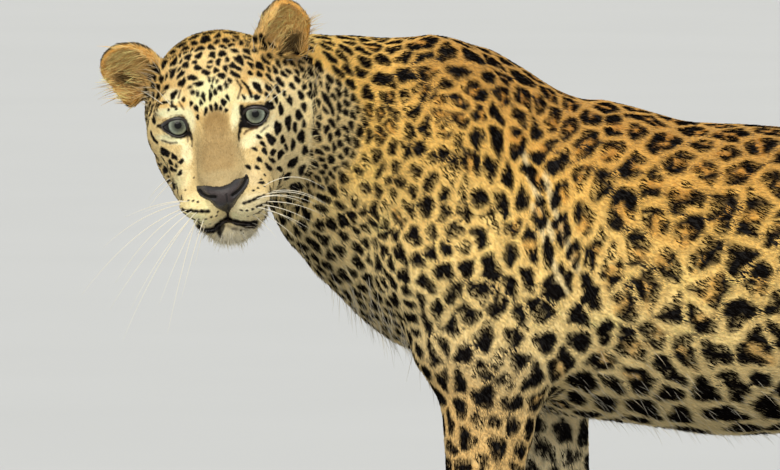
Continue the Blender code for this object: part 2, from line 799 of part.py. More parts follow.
def main():
    """Build the leopard."""
    for obj in list(bpy.data.objects):
        bpy.data.objects.remove(obj)
    frame = head_matrix()
    groups = all_groups()
    parts = build_body(groups) + build_head(groups, frame)
    centre_parts(parts)
    home = bpy.data.collections.new(NAME)
    bpy.context.scene.collection.children.link(home)
    for part in parts:
        bpy.context.scene.collection.objects.unlink(part)
        home.objects.link(part)
        colour, roughness = FUR, 0.9
        if part.name.startswith("eye"):
            colour, roughness = IRIS, 0.1
        if part.name == "nose":
            colour, roughness = NOSE_LEATHER, 0.45
        part.data.materials.clear()
        part.data.materials.append(material(part.name + "_finish", colour, roughness))
        part.data.shade_smooth()


main()
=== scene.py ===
"""The looks of a life-size leopard: one skin, its coat, eyes, nose, lips and whiskers.

Metres, +Z up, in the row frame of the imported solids. The animal faces -X, its left side faces -Y, and its
head is turned to the camera. Head space has +X to the animal's right, +Y out of the face and +Z up.
A mark that shows in the photograph is placed by its pixel in the 780 x 470 frame, and then sits on the skin.
"""
import logging
import math
from dataclasses import dataclass, field
from enum import Enum
from functools import lru_cache

import bmesh
import bpy
import numpy as np
from mathutils import Matrix, Vector
from mathutils.bvhtree import BVHTree
from mathutils.kdtree import KDTree


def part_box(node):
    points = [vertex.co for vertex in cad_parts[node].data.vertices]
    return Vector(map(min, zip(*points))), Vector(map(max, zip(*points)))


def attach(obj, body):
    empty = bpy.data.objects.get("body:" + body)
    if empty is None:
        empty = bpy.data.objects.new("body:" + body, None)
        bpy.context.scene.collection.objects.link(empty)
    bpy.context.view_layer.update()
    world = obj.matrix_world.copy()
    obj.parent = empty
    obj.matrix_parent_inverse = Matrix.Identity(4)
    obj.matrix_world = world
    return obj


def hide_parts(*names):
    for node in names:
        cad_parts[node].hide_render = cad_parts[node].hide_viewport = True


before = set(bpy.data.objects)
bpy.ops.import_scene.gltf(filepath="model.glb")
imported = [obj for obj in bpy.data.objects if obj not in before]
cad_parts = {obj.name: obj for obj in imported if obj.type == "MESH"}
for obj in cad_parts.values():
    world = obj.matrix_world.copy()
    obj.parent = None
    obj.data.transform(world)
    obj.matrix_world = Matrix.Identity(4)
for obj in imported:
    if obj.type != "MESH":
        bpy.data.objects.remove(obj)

LOG = logging.getLogger("leopard")
ROOT = "root"
BAKE_PATCH = 0.0015
BAKE_MARGIN = 0.004
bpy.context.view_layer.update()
Array = np.ndarray


def srgb(code: str) -> Array:
    """Linear colour of a hexadecimal display colour."""
    values = np.array([int(code[i:i + 2], 16) / 255 for i in (0, 2, 4)])
    return np.where(values <= 0.04045, values / 12.92, ((values + 0.055) / 1.055) ** 2.4)


def opaque(code: str) -> tuple:
    """A hexadecimal display colour as a shader's socket takes it."""
    return (*srgb(code), 1)


def smooth_step(low: float, high: float, value: Array) -> Array:
    """Zero below low, one above high, and a smooth rise between them."""
    t = np.clip((value - low) / (high - low), 0, 1)
    return t * t * (3 - 2 * t)


def unit(rows: Array) -> Array:
    """Rows scaled to length one."""
    return rows / (np.linalg.norm(rows, axis=-1, keepdims=True) + 1e-12)


def blend(first: Array, second: Array, share: Array) -> Array:
    """Mix of two sets of colours by a share for each row."""
    return first + (second - first) * np.asarray(share)[..., None]


def in_skin(rows: Array, normals: Array) -> Array:
    """Directions turned to lie in the skin, at length one."""
    return unit(rows - (rows * normals).sum(axis=1)[:, None] * normals)


def plain(code: str, like: Array) -> Array:
    """One display colour for each row of another array."""
    return srgb(code)[None, :] + 0 * like


def curve_through(points: tuple, steps: int, closed: bool = False) -> Array:
    """A smooth curve through points.

    Args:
        points: The points, in two or three numbers each.
        steps: Places between each point and the next.
        closed: Whether the curve comes back to its start.

    Returns:
        The places along the curve.
    """
    rows = np.array(points, dtype=float)
    if closed:
        ends = np.vstack([rows[-1], rows, rows[:2]])
    else:
        ends = np.vstack([2 * rows[0] - rows[1], rows, 2 * rows[-1] - rows[-2]])
    out = []
    for a, b, c, d in zip(ends[:-3], ends[1:-2], ends[2:-1], ends[3:]):
        for t in np.arange(steps) / steps:
            out.append(0.5 * (2 * b + (c - a) * t + (2 * a - 5 * b + 4 * c - d) * t * t
                              + (3 * b - 3 * c + d - a) * t ** 3))
    if not closed:
        out.append(rows[-1])
    return np.array(out)


def along_line(flat: Array, line: Array) -> tuple[Array, Array]:
    """Distance of flat places from a line, and how far along it the nearest point is, from 0 to 1."""
    best = np.full(len(flat), 1e9)
    along = np.zeros(len(flat))
    for i, (start, end) in enumerate(zip(line[:-1], line[1:])):
        run = end - start
        t = np.clip(((flat - start) @ run) / (run @ run + 1e-12), 0, 1)
        away = np.linalg.norm(flat - start - t[:, None] * run, axis=1)
        nearer = away < best
        best[nearer] = away[nearer]
        along[nearer] = (i + t[nearer]) / (len(line) - 1)
    return best, along


def depth_inside(flat: Array, corners: Array) -> Array:
    """Distance of flat places from the edge of a polygon, positive inside."""
    inside = np.zeros(len(flat), dtype=bool)
    best = np.full(len(flat), 1e9)
    for start, end in zip(corners, np.roll(corners, -1, axis=0)):
        run = end - start
        away = flat - start
        t = np.clip(away @ run / (run @ run + 1e-12), 0, 1)
        best = np.minimum(best, np.linalg.norm(away - t[:, None] * run, axis=1))
        crosses = (start[1] > flat[:, 1]) != (end[1] > flat[:, 1])
        slope = run[0] / run[1] if run[1] else 0.0
        inside ^= crosses & (flat[:, 0] < start[0] + slope * (flat[:, 1] - start[1]))
    return np.where(inside, best, -best)


def noise(points: Array, scale: float, seed: int) -> Array:
    """Smooth noise between -1 and 1.

    Args:
        points: Places, one a row.
        scale: Cells for each metre.
        seed: Which noise it is.

    Returns:
        One value for each place.
    """
    place = points * scale + seed * 17.31
    cell = np.floor(place).astype(np.int64)
    t = place - cell
    t = t * t * (3 - 2 * t)
    total = np.zeros(len(points))
    for corner in range(8):
        step = np.array([corner & 1, corner >> 1 & 1, corner >> 2 & 1])
        x, y, z = (cell + step).T
        mixed = x * 73856093 ^ y * 19349663 ^ z * 83492791 ^ seed * 2654435761
        mixed = (mixed ^ mixed >> 13) * 1274126177 & 0x7FFFFFFF
        value = (mixed >> 8 & 0xFFFF) / 32767.5 - 1
        total += value * np.prod(np.where(step == 1, t, 1 - t), axis=1)
    return total


# ---------------------------------------------------------------- places


@dataclass(frozen=True)
class HeadSpace:
    """Where the head is, and the way the face looks."""

    yaw: float = math.radians(177.0)
    pitch: float = math.radians(-22.0)
    roll: float = math.radians(8.75)
    eye_depth: float = 0.010
    eye_radius: float = 0.015

    def turn(self) -> Matrix:
        """Rotation from head space to the row frame."""
        roll = Matrix.Rotation(self.roll, 3, Vector((0, -1, 0)))
        return roll @ Matrix.Rotation(self.yaw, 3, "Z") @ Matrix.Rotation(self.pitch, 3, "X")

    @lru_cache
    def eye(self, name: str) -> Vector:
        """Centre of an eyeball in the row frame."""
        low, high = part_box(name)
        return (low + high) / 2

    @lru_cache
    def brow(self) -> Vector:
        """The point midway between the eyes, on the line of the face."""
        middle = (self.eye("eye_left") + self.eye("eye_right")) / 2
        return middle + self.turn() @ Vector((0, self.eye_depth, 0))

    def local(self, points: Array) -> Array:
        """Row-frame places in head space."""
        return (points - np.array(self.brow())) @ np.array(self.turn())

    def turned(self, rows: Array) -> Array:
        """Head-space directions in the row frame."""
        return rows @ np.array(self.turn()).T


@dataclass(frozen=True)
class Photo:
    """The photograph's frame, one millimetre for each pixel on the plane of the near side."""

    width: int = 780
    height: int = 470
    metres: float = 0.001
    floor_row: float = 715.0
    brow_column: float = 217.0
    brow_depth: float = -0.185
    plane_depth: float = -0.13
    elevation: float = math.radians(3.0)
    distance: float = 18.0
    sensor: float = 36.0

    def shift(self, head: HeadSpace) -> Vector:
        """Row-frame place of the photograph's lower left corner on the animal's middle plane."""
        brow = head.brow()
        return Vector((brow.x - self.brow_column * self.metres, brow.y - self.brow_depth, 0))

    def back(self) -> Vector:
        """Direction from the animal to the camera."""
        return Vector((0, -math.cos(self.elevation), math.sin(self.elevation)))

    def target(self, head: HeadSpace) -> Vector:
        """The point that the middle of the photograph shows."""
        drop = (self.floor_row - self.height / 2) * self.metres
        middle = Vector((self.width / 2 * self.metres, 0, drop)) + self.shift(head)
        return middle + self.back() * -self.plane_depth

    def ray(self, head: HeadSpace, column: float, row: float) -> tuple[Vector, Vector]:
        """The ray from the camera through a pixel.

        Args:
            head: Place of the head, which ties pixels to metres.
            column: Pixels from the left edge.
            row: Pixels from the top edge.

        Returns:
            The camera's place and the direction.
        """
        up = Vector((0, math.sin(self.elevation), math.cos(self.elevation)))
        target = self.target(head)
        point = target + Vector((column - self.width / 2, 0, 0)) * self.metres
        point += up * (self.height / 2 - row) * self.metres
        eye = target + self.back() * self.distance
        return eye, (point - eye).normalized()


HEAD = HeadSpace()
PHOTO = Photo()
SHIFT = PHOTO.shift(HEAD)


def in_photo(points: Array) -> Array:
    """Column and row of places as the camera shows them."""
    target = np.array(PHOTO.target(HEAD))
    back = np.array(PHOTO.back())
    up = np.array([0, math.sin(PHOTO.elevation), math.cos(PHOTO.elevation)])
    away = points - target - back * PHOTO.distance
    scale = PHOTO.distance / (away @ -back) / PHOTO.metres
    columns = (points[:, 0] - target[0]) * scale + PHOTO.width / 2
    return np.stack([columns, PHOTO.height / 2 - (away @ up) * scale], axis=1)


def side_pixels(points: Array) -> Array:
    """Column and row of places seen square from the side, in photograph pixels."""
    columns = (points[:, 0] - SHIFT.x) / PHOTO.metres
    rows = PHOTO.floor_row - points[:, 2] / PHOTO.metres
    return np.stack([columns, rows], axis=1)


class Part(Enum):
    """The parts of the body that have a coat of their own kind."""

    HEAD = "head"
    EAR = "ear"
    NECK = "neck"
    CHEST = "chest"
    BELLY = "belly"
    RUMP = "rump"
    THIGH = "thigh"
    SHANK = "shank"
    HINDPAW = "hindpaw"
    FOREARM = "forearm"
    FOREPAW = "forepaw"
    TAIL_ROOT = "tail_root"
    TAIL_MIDDLE = "tail_middle"
    TAIL_BEND = "tail_bend"
    TAIL_TIP = "tail_tip"


PARTS = list(Part)


def share_of(share: Array, *parts: Part) -> Array:
    """How much of each place belongs to some parts."""
    return sum(share[:, PARTS.index(part)] for part in parts)


def part_of(node: str) -> Part | None:
    """The part that a CAD node of flesh belongs to, or None for an eye or the nose."""
    for part in PARTS:
        if node == part.value or node in (part.value + "_left", part.value + "_right"):
            return part
    return None


@dataclass(frozen=True)
class Fur:
    """How the coat grows on one part: sizes in metres, lift in degrees, tufts for each square metre."""

    length: float
    width: float
    lift: float
    density: float
    depth: float
    smoothing: float
    lie: tuple[float, float, float]


FUR = {
    Part.HEAD: Fur(0.0036, 0.00070, 11, 700_000, 0.0010, 0.30, (0, 0, 0)),
    Part.EAR: Fur(0.0050, 0.00080, 14, 500_000, 0.0005, 0.18, (0, 0, 0)),
    Part.NECK: Fur(0.0064, 0.00110, 9, 265_000, 0.0020, 0.80, (0.80, 0, -0.50)),
    Part.CHEST: Fur(0.0067, 0.00115, 8, 240_000, 0.0022, 0.85, (0.62, 0, -0.62)),
    Part.BELLY: Fur(0.0076, 0.00120, 8, 225_000, 0.0024, 0.90, (1.00, 0, -0.30)),
    Part.RUMP: Fur(0.0073, 0.00120, 8, 225_000, 0.0022, 0.90, (0.80, 0, -0.60)),
    Part.THIGH: Fur(0.0076, 0.00115, 8, 235_000, 0.0018, 0.80, (0.35, 0, -1.00)),
    Part.SHANK: Fur(0.0060, 0.00100, 8, 300_000, 0.0012, 0.55, (0.10, 0, -1.00)),
    Part.HINDPAW: Fur(0.0042, 0.00085, 9, 400_000, 0.0006, 0.25, (-0.80, 0, -0.60)),
    Part.FOREARM: Fur(0.0062, 0.00105, 8, 290_000, 0.0014, 0.60, (0.12, 0, -1.00)),
    Part.FOREPAW: Fur(0.0042, 0.00085, 9, 400_000, 0.0006, 0.25, (-0.80, 0, -0.60)),
    Part.TAIL_ROOT: Fur(0.0090, 0.00125, 10, 250_000, 0.0014, 0.60, (0.32, 0, -1.00)),
    Part.TAIL_MIDDLE: Fur(0.0090, 0.00125, 11, 250_000, 0.0014, 0.60, (0.30, 0, -1.00)),
    Part.TAIL_BEND: Fur(0.0095, 0.00125, 12, 250_000, 0.0014, 0.60, (1.00, 0, -0.10)),
    Part.TAIL_TIP: Fur(0.0105, 0.00125, 13, 270_000, 0.0012, 0.50, (0.40, 0, 1.00)),
}


# ---------------------------------------------------------------- surfaces


@dataclass
class Surface:
    """A triangle mesh as arrays, with what the coat needs at each vertex."""

    points: Array
    triangles: Array
    normals: Array = field(default_factory=lambda: np.zeros((0, 3)))
    fields: dict[str, Array] = field(default_factory=dict)

    def edges(self) -> tuple[Array, Array]:
        """Both ends of every edge."""
        t = self.triangles
        pairs = np.sort(np.vstack([t[:, [0, 1]], t[:, [1, 2]], t[:, [2, 0]]]), axis=1)
        pairs = np.unique(pairs[:, 0] * len(self.points) + pairs[:, 1])
        return pairs // len(self.points), pairs % len(self.points)

    def update_normals(self) -> None:
        """Vertex normals from the triangles."""
        a, b, c = (self.points[self.triangles[:, i]] for i in range(3))
        face = np.cross(b - a, c - a)
        total = np.zeros_like(self.points)
        for axis in range(3):
            for corner in range(3):
                total[:, axis] += np.bincount(self.triangles[:, corner], face[:, axis], len(self.points))
        self.normals = unit(total)

    def mean_near(self, values: Array, edges: tuple[Array, Array]) -> Array:
        """The mean of each vertex's neighbours."""
        a, b = edges
        count = len(self.points)
        degree = np.bincount(a, minlength=count) + np.bincount(b, minlength=count)
        columns = values.reshape(count, -1)
        out = np.empty_like(columns)
        for i in range(columns.shape[1]):
            total = np.bincount(a, columns[b, i], count) + np.bincount(b, columns[a, i], count)
            out[:, i] = total / np.maximum(degree, 1)
        return out.reshape(values.shape)

    def tree(self) -> BVHTree:
        """A tree for rays and nearest points."""
        return BVHTree.FromPolygons(self.points.tolist(), self.triangles.tolist())

    def areas(self) -> Array:
        """Area of each triangle."""
        a, b, c = (self.points[self.triangles[:, i]] for i in range(3))
        return 0.5 * np.linalg.norm(np.cross(b - a, c - a), axis=1)

    def scatter(self, density: Array, seed: int) -> tuple[Array, Array]:
        """Even random places on the surface.

        Args:
            density: Places for each square metre, for each vertex.
            seed: Seed of the draw.

        Returns:
            The triangle of each place, and its three weights there.
        """
        draw = np.random.default_rng(seed)
        wanted = self.areas() * density[self.triangles].mean(axis=1)
        counts = np.floor(wanted + draw.random(len(wanted))).astype(np.int64)
        chosen = np.repeat(np.arange(len(wanted)), counts)
        first = draw.random(len(chosen))
        second = draw.random(len(chosen))
        over = first + second > 1
        first[over], second[over] = 1 - first[over], 1 - second[over]
        return chosen, np.stack([1 - first - second, first, second], axis=1)

    def at(self, values: Array, chosen: Array, weights: Array) -> Array:
        """Vertex values carried to places on the surface."""
        corners = values[self.triangles[chosen]]
        if values.ndim == 1:
            return (corners * weights).sum(axis=1)
        return (corners * weights[:, :, None]).sum(axis=1)


def mesh_from(name: str, points: Array, triangles: Array) -> bpy.types.Mesh:
    """A mesh from rows of points and rows of corner numbers."""
    mesh = bpy.data.meshes.new(name)
    mesh.vertices.add(len(points))
    mesh.vertices.foreach_set("co", np.ascontiguousarray(points, dtype=np.float32).ravel())
    sides = triangles.shape[1]
    mesh.loops.add(len(triangles) * sides)
    mesh.loops.foreach_set("vertex_index", triangles.astype(np.int32).ravel())
    mesh.polygons.add(len(triangles))
    mesh.polygons.foreach_set("loop_start", np.arange(0, len(triangles) * sides, sides, dtype=np.int32))
    mesh.update(calc_edges=True)
    return mesh


def surface_from(mesh: bpy.types.Mesh) -> Surface:
    """The arrays of a mesh, in triangles."""
    mesh.calc_loop_triangles()
    points = np.empty(len(mesh.vertices) * 3, dtype=np.float32)
    mesh.vertices.foreach_get("co", points)
    triangles = np.empty(len(mesh.loop_triangles) * 3, dtype=np.int32)
    mesh.loop_triangles.foreach_get("vertices", triangles)
    made = Surface(points.reshape(-1, 3).astype(float), triangles.reshape(-1, 3).astype(np.int64))
    made.update_normals()
    return made


def add_attribute(mesh: bpy.types.Mesh, name: str, kind: str, values: Array) -> None:
    """Store one value for each vertex, under a name that a material reads."""
    attribute = mesh.attributes.new(name, kind, "POINT")
    keys = {"FLOAT": "value", "FLOAT_VECTOR": "vector", "FLOAT_COLOR": "color"}
    if kind == "FLOAT_COLOR":
        values = np.hstack([values, np.ones((len(values), 1))])
    attribute.data.foreach_set(keys[kind], np.ascontiguousarray(values, dtype=np.float32).ravel())


def linked(name: str, data: bpy.types.ID) -> bpy.types.Object:
    """An object in the scene for a mesh, a light or a camera."""
    obj = bpy.data.objects.new(name, data)
    bpy.context.scene.collection.objects.link(obj)
    return obj


def new_piece(name: str, mesh: bpy.types.Mesh, finish: bpy.types.Material) -> bpy.types.Object:
    """A smooth object for a mesh, in its finish, riding on the still body."""
    mesh.name = name
    mesh.materials.clear()
    mesh.materials.append(finish)
    mesh.polygons.foreach_set("use_smooth", np.ones(len(mesh.polygons), dtype=bool))
    piece = linked(name, mesh)
    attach(piece, ROOT)
    return piece


def baked(obj: bpy.types.Object) -> bpy.types.Mesh:
    """The mesh of an object with its modifiers applied. The object is removed."""
    depsgraph = bpy.context.evaluated_depsgraph_get()
    mesh = bpy.data.meshes.new_from_object(obj.evaluated_get(depsgraph))
    bpy.data.objects.remove(obj)
    return mesh


def remeshed(points: Array, triangles: Array, voxel: float) -> Surface:
    """One even closed skin round overlapping closed meshes."""
    obj = linked("clay", mesh_from("clay", points, triangles))
    modifier = obj.modifiers.new("skin", "REMESH")
    modifier.mode = "VOXEL"
    modifier.voxel_size = voxel
    return largest(surface_from(baked(obj)))


def largest(surface: Surface) -> Surface:
    """Only the largest connected part of a surface."""
    a, b = surface.edges()
    label = np.arange(len(surface.points))
    while True:
        low = np.minimum(label[a], label[b])
        before = label.copy()
        np.minimum.at(label, a, low)
        np.minimum.at(label, b, low)
        label = label[label]
        if (label == before).all():
            break
    winner = np.bincount(label).argmax()
    keep = label == winner
    number = np.cumsum(keep) - 1
    triangles = surface.triangles[keep[surface.triangles[:, 0]]]
    made = Surface(surface.points[keep], number[triangles])
    made.update_normals()
    return made


# ---------------------------------------------------------------- skin


@dataclass
class Skin:
    """One skin round every node of flesh, lying under the coat."""

    voxel: float = 0.0024
    swell: float = 0.0010
    rounds: int = 24
    spread: int = 70
    body_share: float = 0.112
    lid_shell: float = 0.0010

    def clay(self) -> tuple[Array, Array, KDTree, Array]:
        """The nodes of flesh, swollen until they overlap, with plugs in the eye sockets."""
        points, triangles, owners = [], [], []
        count = 0
        for name, node in sorted(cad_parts.items()):
            part = Part.HEAD if name == "nose" else part_of(name)
            if part is None:
                continue
            form = bmesh.new()
            form.from_mesh(node.data)
            bmesh.ops.remove_doubles(form, verts=form.verts, dist=1e-6)
            bmesh.ops.triangulate(form, faces=form.faces)
            form.normal_update()
            form.verts.ensure_lookup_table()
            rows = np.array([vert.co + vert.normal * self.swell for vert in form.verts])
            faces = np.array([[vert.index for vert in face.verts] for face in form.faces])
            form.free()
            points.append(rows)
            triangles.append(faces + count)
            owners.append(np.full(len(rows), PARTS.index(part)))
            count += len(rows)
        tree = KDTree(count)
        for index, row in enumerate(np.vstack(points)):
            tree.insert(row, index)
        tree.balance()
        for eye in EYES:
            form = bmesh.new()
            plug = Matrix.Translation(eye.centre())
            bmesh.ops.create_icosphere(form, subdivisions=3, radius=HEAD.eye_radius + self.lid_shell, matrix=plug)
            form.verts.ensure_lookup_table()
            points.append(np.array([vert.co[:] for vert in form.verts]))
            triangles.append(np.array([[vert.index for vert in face.verts] for face in form.faces]) + count)
            count += len(form.verts)
            form.free()
        return np.vstack(points), np.vstack(triangles), tree, np.concatenate(owners)

    def build(self) -> Surface:
        """Make the skin and its fields.

        Returns:
            The finished surface.
        """
        points, triangles, tree, owners = self.clay()
        skin = remeshed(points, triangles, self.voxel)
        LOG.info("clay: %d triangles", len(skin.triangles))
        label = np.array([owners[tree.find(row)[1]] for row in skin.points])
        self.settle(skin, label)
        self.sculpt(skin)
        skin = self.thinned(skin, label)
        label = np.array([owners[tree.find(row)[1]] for row in skin.points])
        self.grow_fields(skin, label)
        self.press_eyes(skin)
        return skin

    def settle(self, skin: Surface, label: Array) -> None:
        """Smooth away the facets of the solids, and sink the skin under its coat."""
        edges = skin.edges()
        rate = np.array([FUR[part].smoothing for part in PARTS])[label]
        depth = np.array([FUR[part].depth for part in PARTS])[label] + self.swell
        for _ in range(self.rounds // 3):
            rate = skin.mean_near(rate, edges)
            depth = skin.mean_near(depth, edges)
        for _ in range(self.rounds):
            skin.points += (skin.mean_near(skin.points, edges) - skin.points) * rate[:, None]
        skin.update_normals()
        skin.points -= skin.normals * depth[:, None]
        for _ in range(2):
            skin.points += (skin.mean_near(skin.points, edges) - skin.points) * 0.4 * rate[:, None]
        skin.update_normals()

    def sculpt(self, skin: Surface) -> None:
        """Raise and lower the skin along folds, muscles and the bones under it."""
        tree = skin.tree()
        move = np.zeros_like(skin.points)
        for grab in GRABS:
            move += grab.moves(skin, tree)
        skin.points += move
        skin.update_normals()
        for fold in FOLDS:
            skin.points += skin.normals * fold.heights(skin)[:, None]
        skin.update_normals()

    def thinned(self, skin: Surface, label: Array) -> Surface:
        """The same skin with larger triangles on the body than on the head and ears, and smaller ones on the front of
        the face.
        """
        fine = np.isin(label, [PARTS.index(p) for p in (Part.HEAD, Part.EAR)])
        obj = linked("skin", mesh_from("skin", skin.points, skin.triangles))
        group = obj.vertex_groups.new(name="coarse")
        group.add(np.flatnonzero(~fine).tolist(), 1.0, "REPLACE")
        modifier = obj.modifiers.new("thin", "DECIMATE")
        kept = fine[skin.triangles[:, 0]].mean()
        modifier.ratio = kept + (1 - kept) * self.body_share
        modifier.vertex_group = "coarse"
        mesh = baked(obj)
        form = bmesh.new()
        form.from_mesh(mesh)
        local = HEAD.local(np.array([vert.co for vert in form.verts]))
        front = (local[:, 1] > -0.022) & (local[:, 2] > -0.105) & (local[:, 2] < 0.030)
        face = [edge for edge in form.edges if front[edge.verts[0].index] and front[edge.verts[1].index]]
        bmesh.ops.subdivide_edges(form, edges=face, cuts=1)
        bmesh.ops.triangulate(form, faces=form.faces)
        form.to_mesh(mesh)
        form.free()
        return surface_from(mesh)

    def grow_fields(self, skin: Surface, label: Array) -> None:
        """Spread each part's kind of coat over the skin, softly across its borders."""
        edges = skin.edges()
        rows = [FUR[part] for part in PARTS]
        table = np.array([[f.length, f.width, f.lift, f.density] for f in rows])[label]
        share = np.eye(len(PARTS))[label]
        lie = self.guide(skin, label)
        for _ in range(self.spread):
            table = skin.mean_near(table, edges)
            lie = skin.mean_near(lie, edges)
            lie = in_skin(lie, skin.normals)
        for _ in range(self.spread // 2):
            share = skin.mean_near(share, edges)
        skin.fields = dict(zip(("length", "width", "lift", "density"), table.T))
        skin.fields.update(share=share, lie=lie)

    def guide(self, skin: Surface, label: Array) -> Array:
        """The way that the hair lies, before it is evened out.

        Args:
            skin: The skin.
            label: The part of each vertex.

        Returns:
            One direction in the skin for each vertex.
        """
        lie = np.array([FUR[part].lie for part in PARTS], dtype=float)[label]
        lie[:, 1] += 0.15 * skin.normals[:, 1]
        local = HEAD.local(skin.points)
        on_head = label == PARTS.index(Part.HEAD)
        away = local - np.array([0.0, 0.110, -0.040])
        away[:, 2] += 0.10 * np.clip(-local[:, 2] - 0.075, 0, 0.05) / 0.05 * -1
        lie[on_head] = HEAD.turned(unit(away))[on_head]
        for ear in EARS:
            near = (label == PARTS.index(Part.EAR)) & (ear.side * local[:, 0] > 0)
            lie[near] = HEAD.turned(np.array(ear.along())[None, :])[0]
        return in_skin(lie, skin.normals)

    def press_eyes(self, skin: Surface) -> None:
        """Sink the skin behind each eyeball inside its lids, and thin the lids towards their rims."""
        for eye in EYES:
            centre = np.array(eye.centre())
            away = skin.points - centre
            radius = np.linalg.norm(away, axis=1)
            inside = eye.inside(skin.points)
            want = np.full(len(radius), HEAD.eye_radius + 0.0014)
            want -= 0.0050 * smooth_step(-0.0004, 0.0014, inside)
            near = (away[:, 1] < 0) & (radius < HEAD.eye_radius + 0.014)
            strength = smooth_step(-0.0050, -0.0012, inside) * near
            moved = centre + away * (want / radius)[:, None]
            skin.points = blend(skin.points, moved, strength)
        skin.update_normals()


@dataclass(frozen=True)
class EyeOpening:
    """The opening between the lids of one eye, by photograph pixels: side is 1 for the animal's right eye."""

    side: int
    upper: tuple[tuple[float, float], ...]
    lower: tuple[tuple[float, float], ...]
    iris: tuple[float, float]

    def centre(self) -> Vector:
        """Centre of the eyeball."""
        return HEAD.eye("eye_right" if self.side == 1 else "eye_left") - Vector((0, 0, 0.0022))

    def outline(self, steps: int = 6) -> Array:
        """Pixels along the edge of the opening, from the outer corner over the top and back underneath."""
        return np.vstack([curve_through(self.upper, steps)[:-1], curve_through(self.lower, steps)[:-1]])

    def inside(self, points: Array) -> Array:
        """How far places are inside the opening as the camera sees it, in metres, negative outside."""
        away = points - np.array(self.centre())
        near = (np.linalg.norm(away, axis=1) < 0.032) & (away[:, 1] < 0.002)
        out = np.full(len(points), -1.0)
        out[near] = depth_inside(in_photo(points[near]), self.outline()) * PHOTO.metres
        return out

    def on_ball(self, pixel: Array, radius: float) -> Array:
        """The place on a ball round the eyeball's centre that a pixel shows, or the nearest to it."""
        eye, direction = PHOTO.ray(HEAD, pixel[0], pixel[1])
        away = self.centre() - eye
        reach = away.dot(direction)
        foot = eye + direction * reach
        out = foot - self.centre()
        if out.length > radius * 0.97:
            out = out.normalized() * radius * 0.97
        depth = math.sqrt(radius ** 2 - out.length_squared)
        return np.array(self.centre() + out - direction * depth)


EYES = (
    EyeOpening(
        1,
        ((160.8, 126.4), (164.4, 123.8), (168.8, 121.0), (172.8, 119.4), (176.8, 118.6), (181.0, 118.7),
         (184.4, 120.4), (186.4, 124.2), (187.6, 128.4), (189.8, 133.6)),
        ((189.8, 133.6), (185.2, 134.8), (181.6, 136.2), (177.4, 136.6), (172.8, 135.4), (168.4, 133.2),
         (164.4, 130.4), (160.8, 126.4)),
        (178.0, 125.3)),
    EyeOpening(
        -1,
        ((268.6, 113.0), (266.6, 110.8), (263.6, 108.8), (259.4, 107.6), (254.8, 107.4), (250.2, 107.9),
         (246.2, 109.6), (243.2, 113.4), (241.8, 117.4), (241.6, 121.6)),
        ((241.6, 121.6), (245.0, 121.8), (248.0, 122.2), (251.3, 124.2), (255.6, 125.0), (259.8, 124.2),
         (263.6, 121.6), (266.6, 117.8), (268.6, 113.0)),
        (255.5, 114.0)),
)


@dataclass(frozen=True)
class Ear:
    """One ear, as the solids have it: side is 1 for the animal's right ear."""

    side: int
    root: tuple[float, float, float]
    lift: float

    def along(self) -> Vector:
        """From the root to the tip, in head space."""
        return Vector((self.side * math.cos(self.lift), -0.08, math.sin(self.lift))).normalized()

    def out(self) -> Vector:
        """Out of the cup, in head space."""
        out = Vector((self.side * 0.18, 1.0, -0.05))
        return (out - self.along() * out.dot(self.along())).normalized()

    def facing(self) -> Array:
        """Out of the cup, in the row frame."""
        return HEAD.turned(np.array(self.out())[None, :])[0]

    def local(self, points: Array) -> Array:
        """Places across, out of and along the ear, from its root."""
        rows = np.array([self.out().cross(self.along()), self.out(), self.along()])
        return (HEAD.local(points) - np.array(self.root)) @ rows.T


EARS = (
    Ear(1, (0.056, -0.078, 0.022), math.radians(27)),
    Ear(-1, (-0.060, -0.078, 0.030), math.radians(64)),
)


def on_skin(surface: Surface, tree: BVHTree, column: float, row: float) -> tuple[Vector, Vector] | None:
    """The place and normal where the camera's ray through a pixel meets the skin."""
    eye, direction = PHOTO.ray(HEAD, column, row)
    hit = tree.ray_cast(eye, direction)
    if hit[0] is None:
        return None
    return hit[0], hit[1]


@dataclass(frozen=True)
class Fold:
    """A ridge or a hollow in the skin along a line of photograph pixels, on both sides of the body or on the face."""

    line: tuple[tuple[float, float], ...]
    width: float
    height: float
    face: bool = False

    def heights(self, skin: Surface) -> Array:
        """How far each vertex rises."""
        if self.face:
            flat = in_photo(skin.points)
            local = HEAD.local(skin.points)
            where = smooth_step(0.15, 0.45, -skin.normals[:, 1]) * (local[:, 1] > -0.12)
        else:
            flat = side_pixels(skin.points)
            where = smooth_step(0.25, 0.6, np.abs(skin.normals[:, 1]))
        low, high = np.array(self.line).min(axis=0) - 4 * self.width, np.array(self.line).max(axis=0) + 4 * self.width
        near = np.flatnonzero((where > 0) & (flat > low).all(axis=1) & (flat < high).all(axis=1))
        away, _ = along_line(flat[near], np.array(self.line, dtype=float))
        out = np.zeros(len(flat))
        out[near] = self.height * np.exp(-(away / self.width) ** 2) * where[near]
        return out


@dataclass(frozen=True)
class Grab:
    """A soft pull on the skin round a photograph pixel, by columns and rows of pixels."""

    column: float
    row: float
    radius: float
    right: float
    down: float

    def moves(self, skin: Surface, tree: BVHTree) -> Array:
        """How each vertex moves."""
        hit = on_skin(skin, tree, self.column, self.row)
        if not hit:
            return np.zeros_like(skin.points)
        away = np.linalg.norm(skin.points - np.array(hit[0]), axis=1) / (self.radius * PHOTO.metres)
        share = np.exp(-away ** 2)
        return share[:, None] * np.array([self.right, 0, -self.down]) * PHOTO.metres


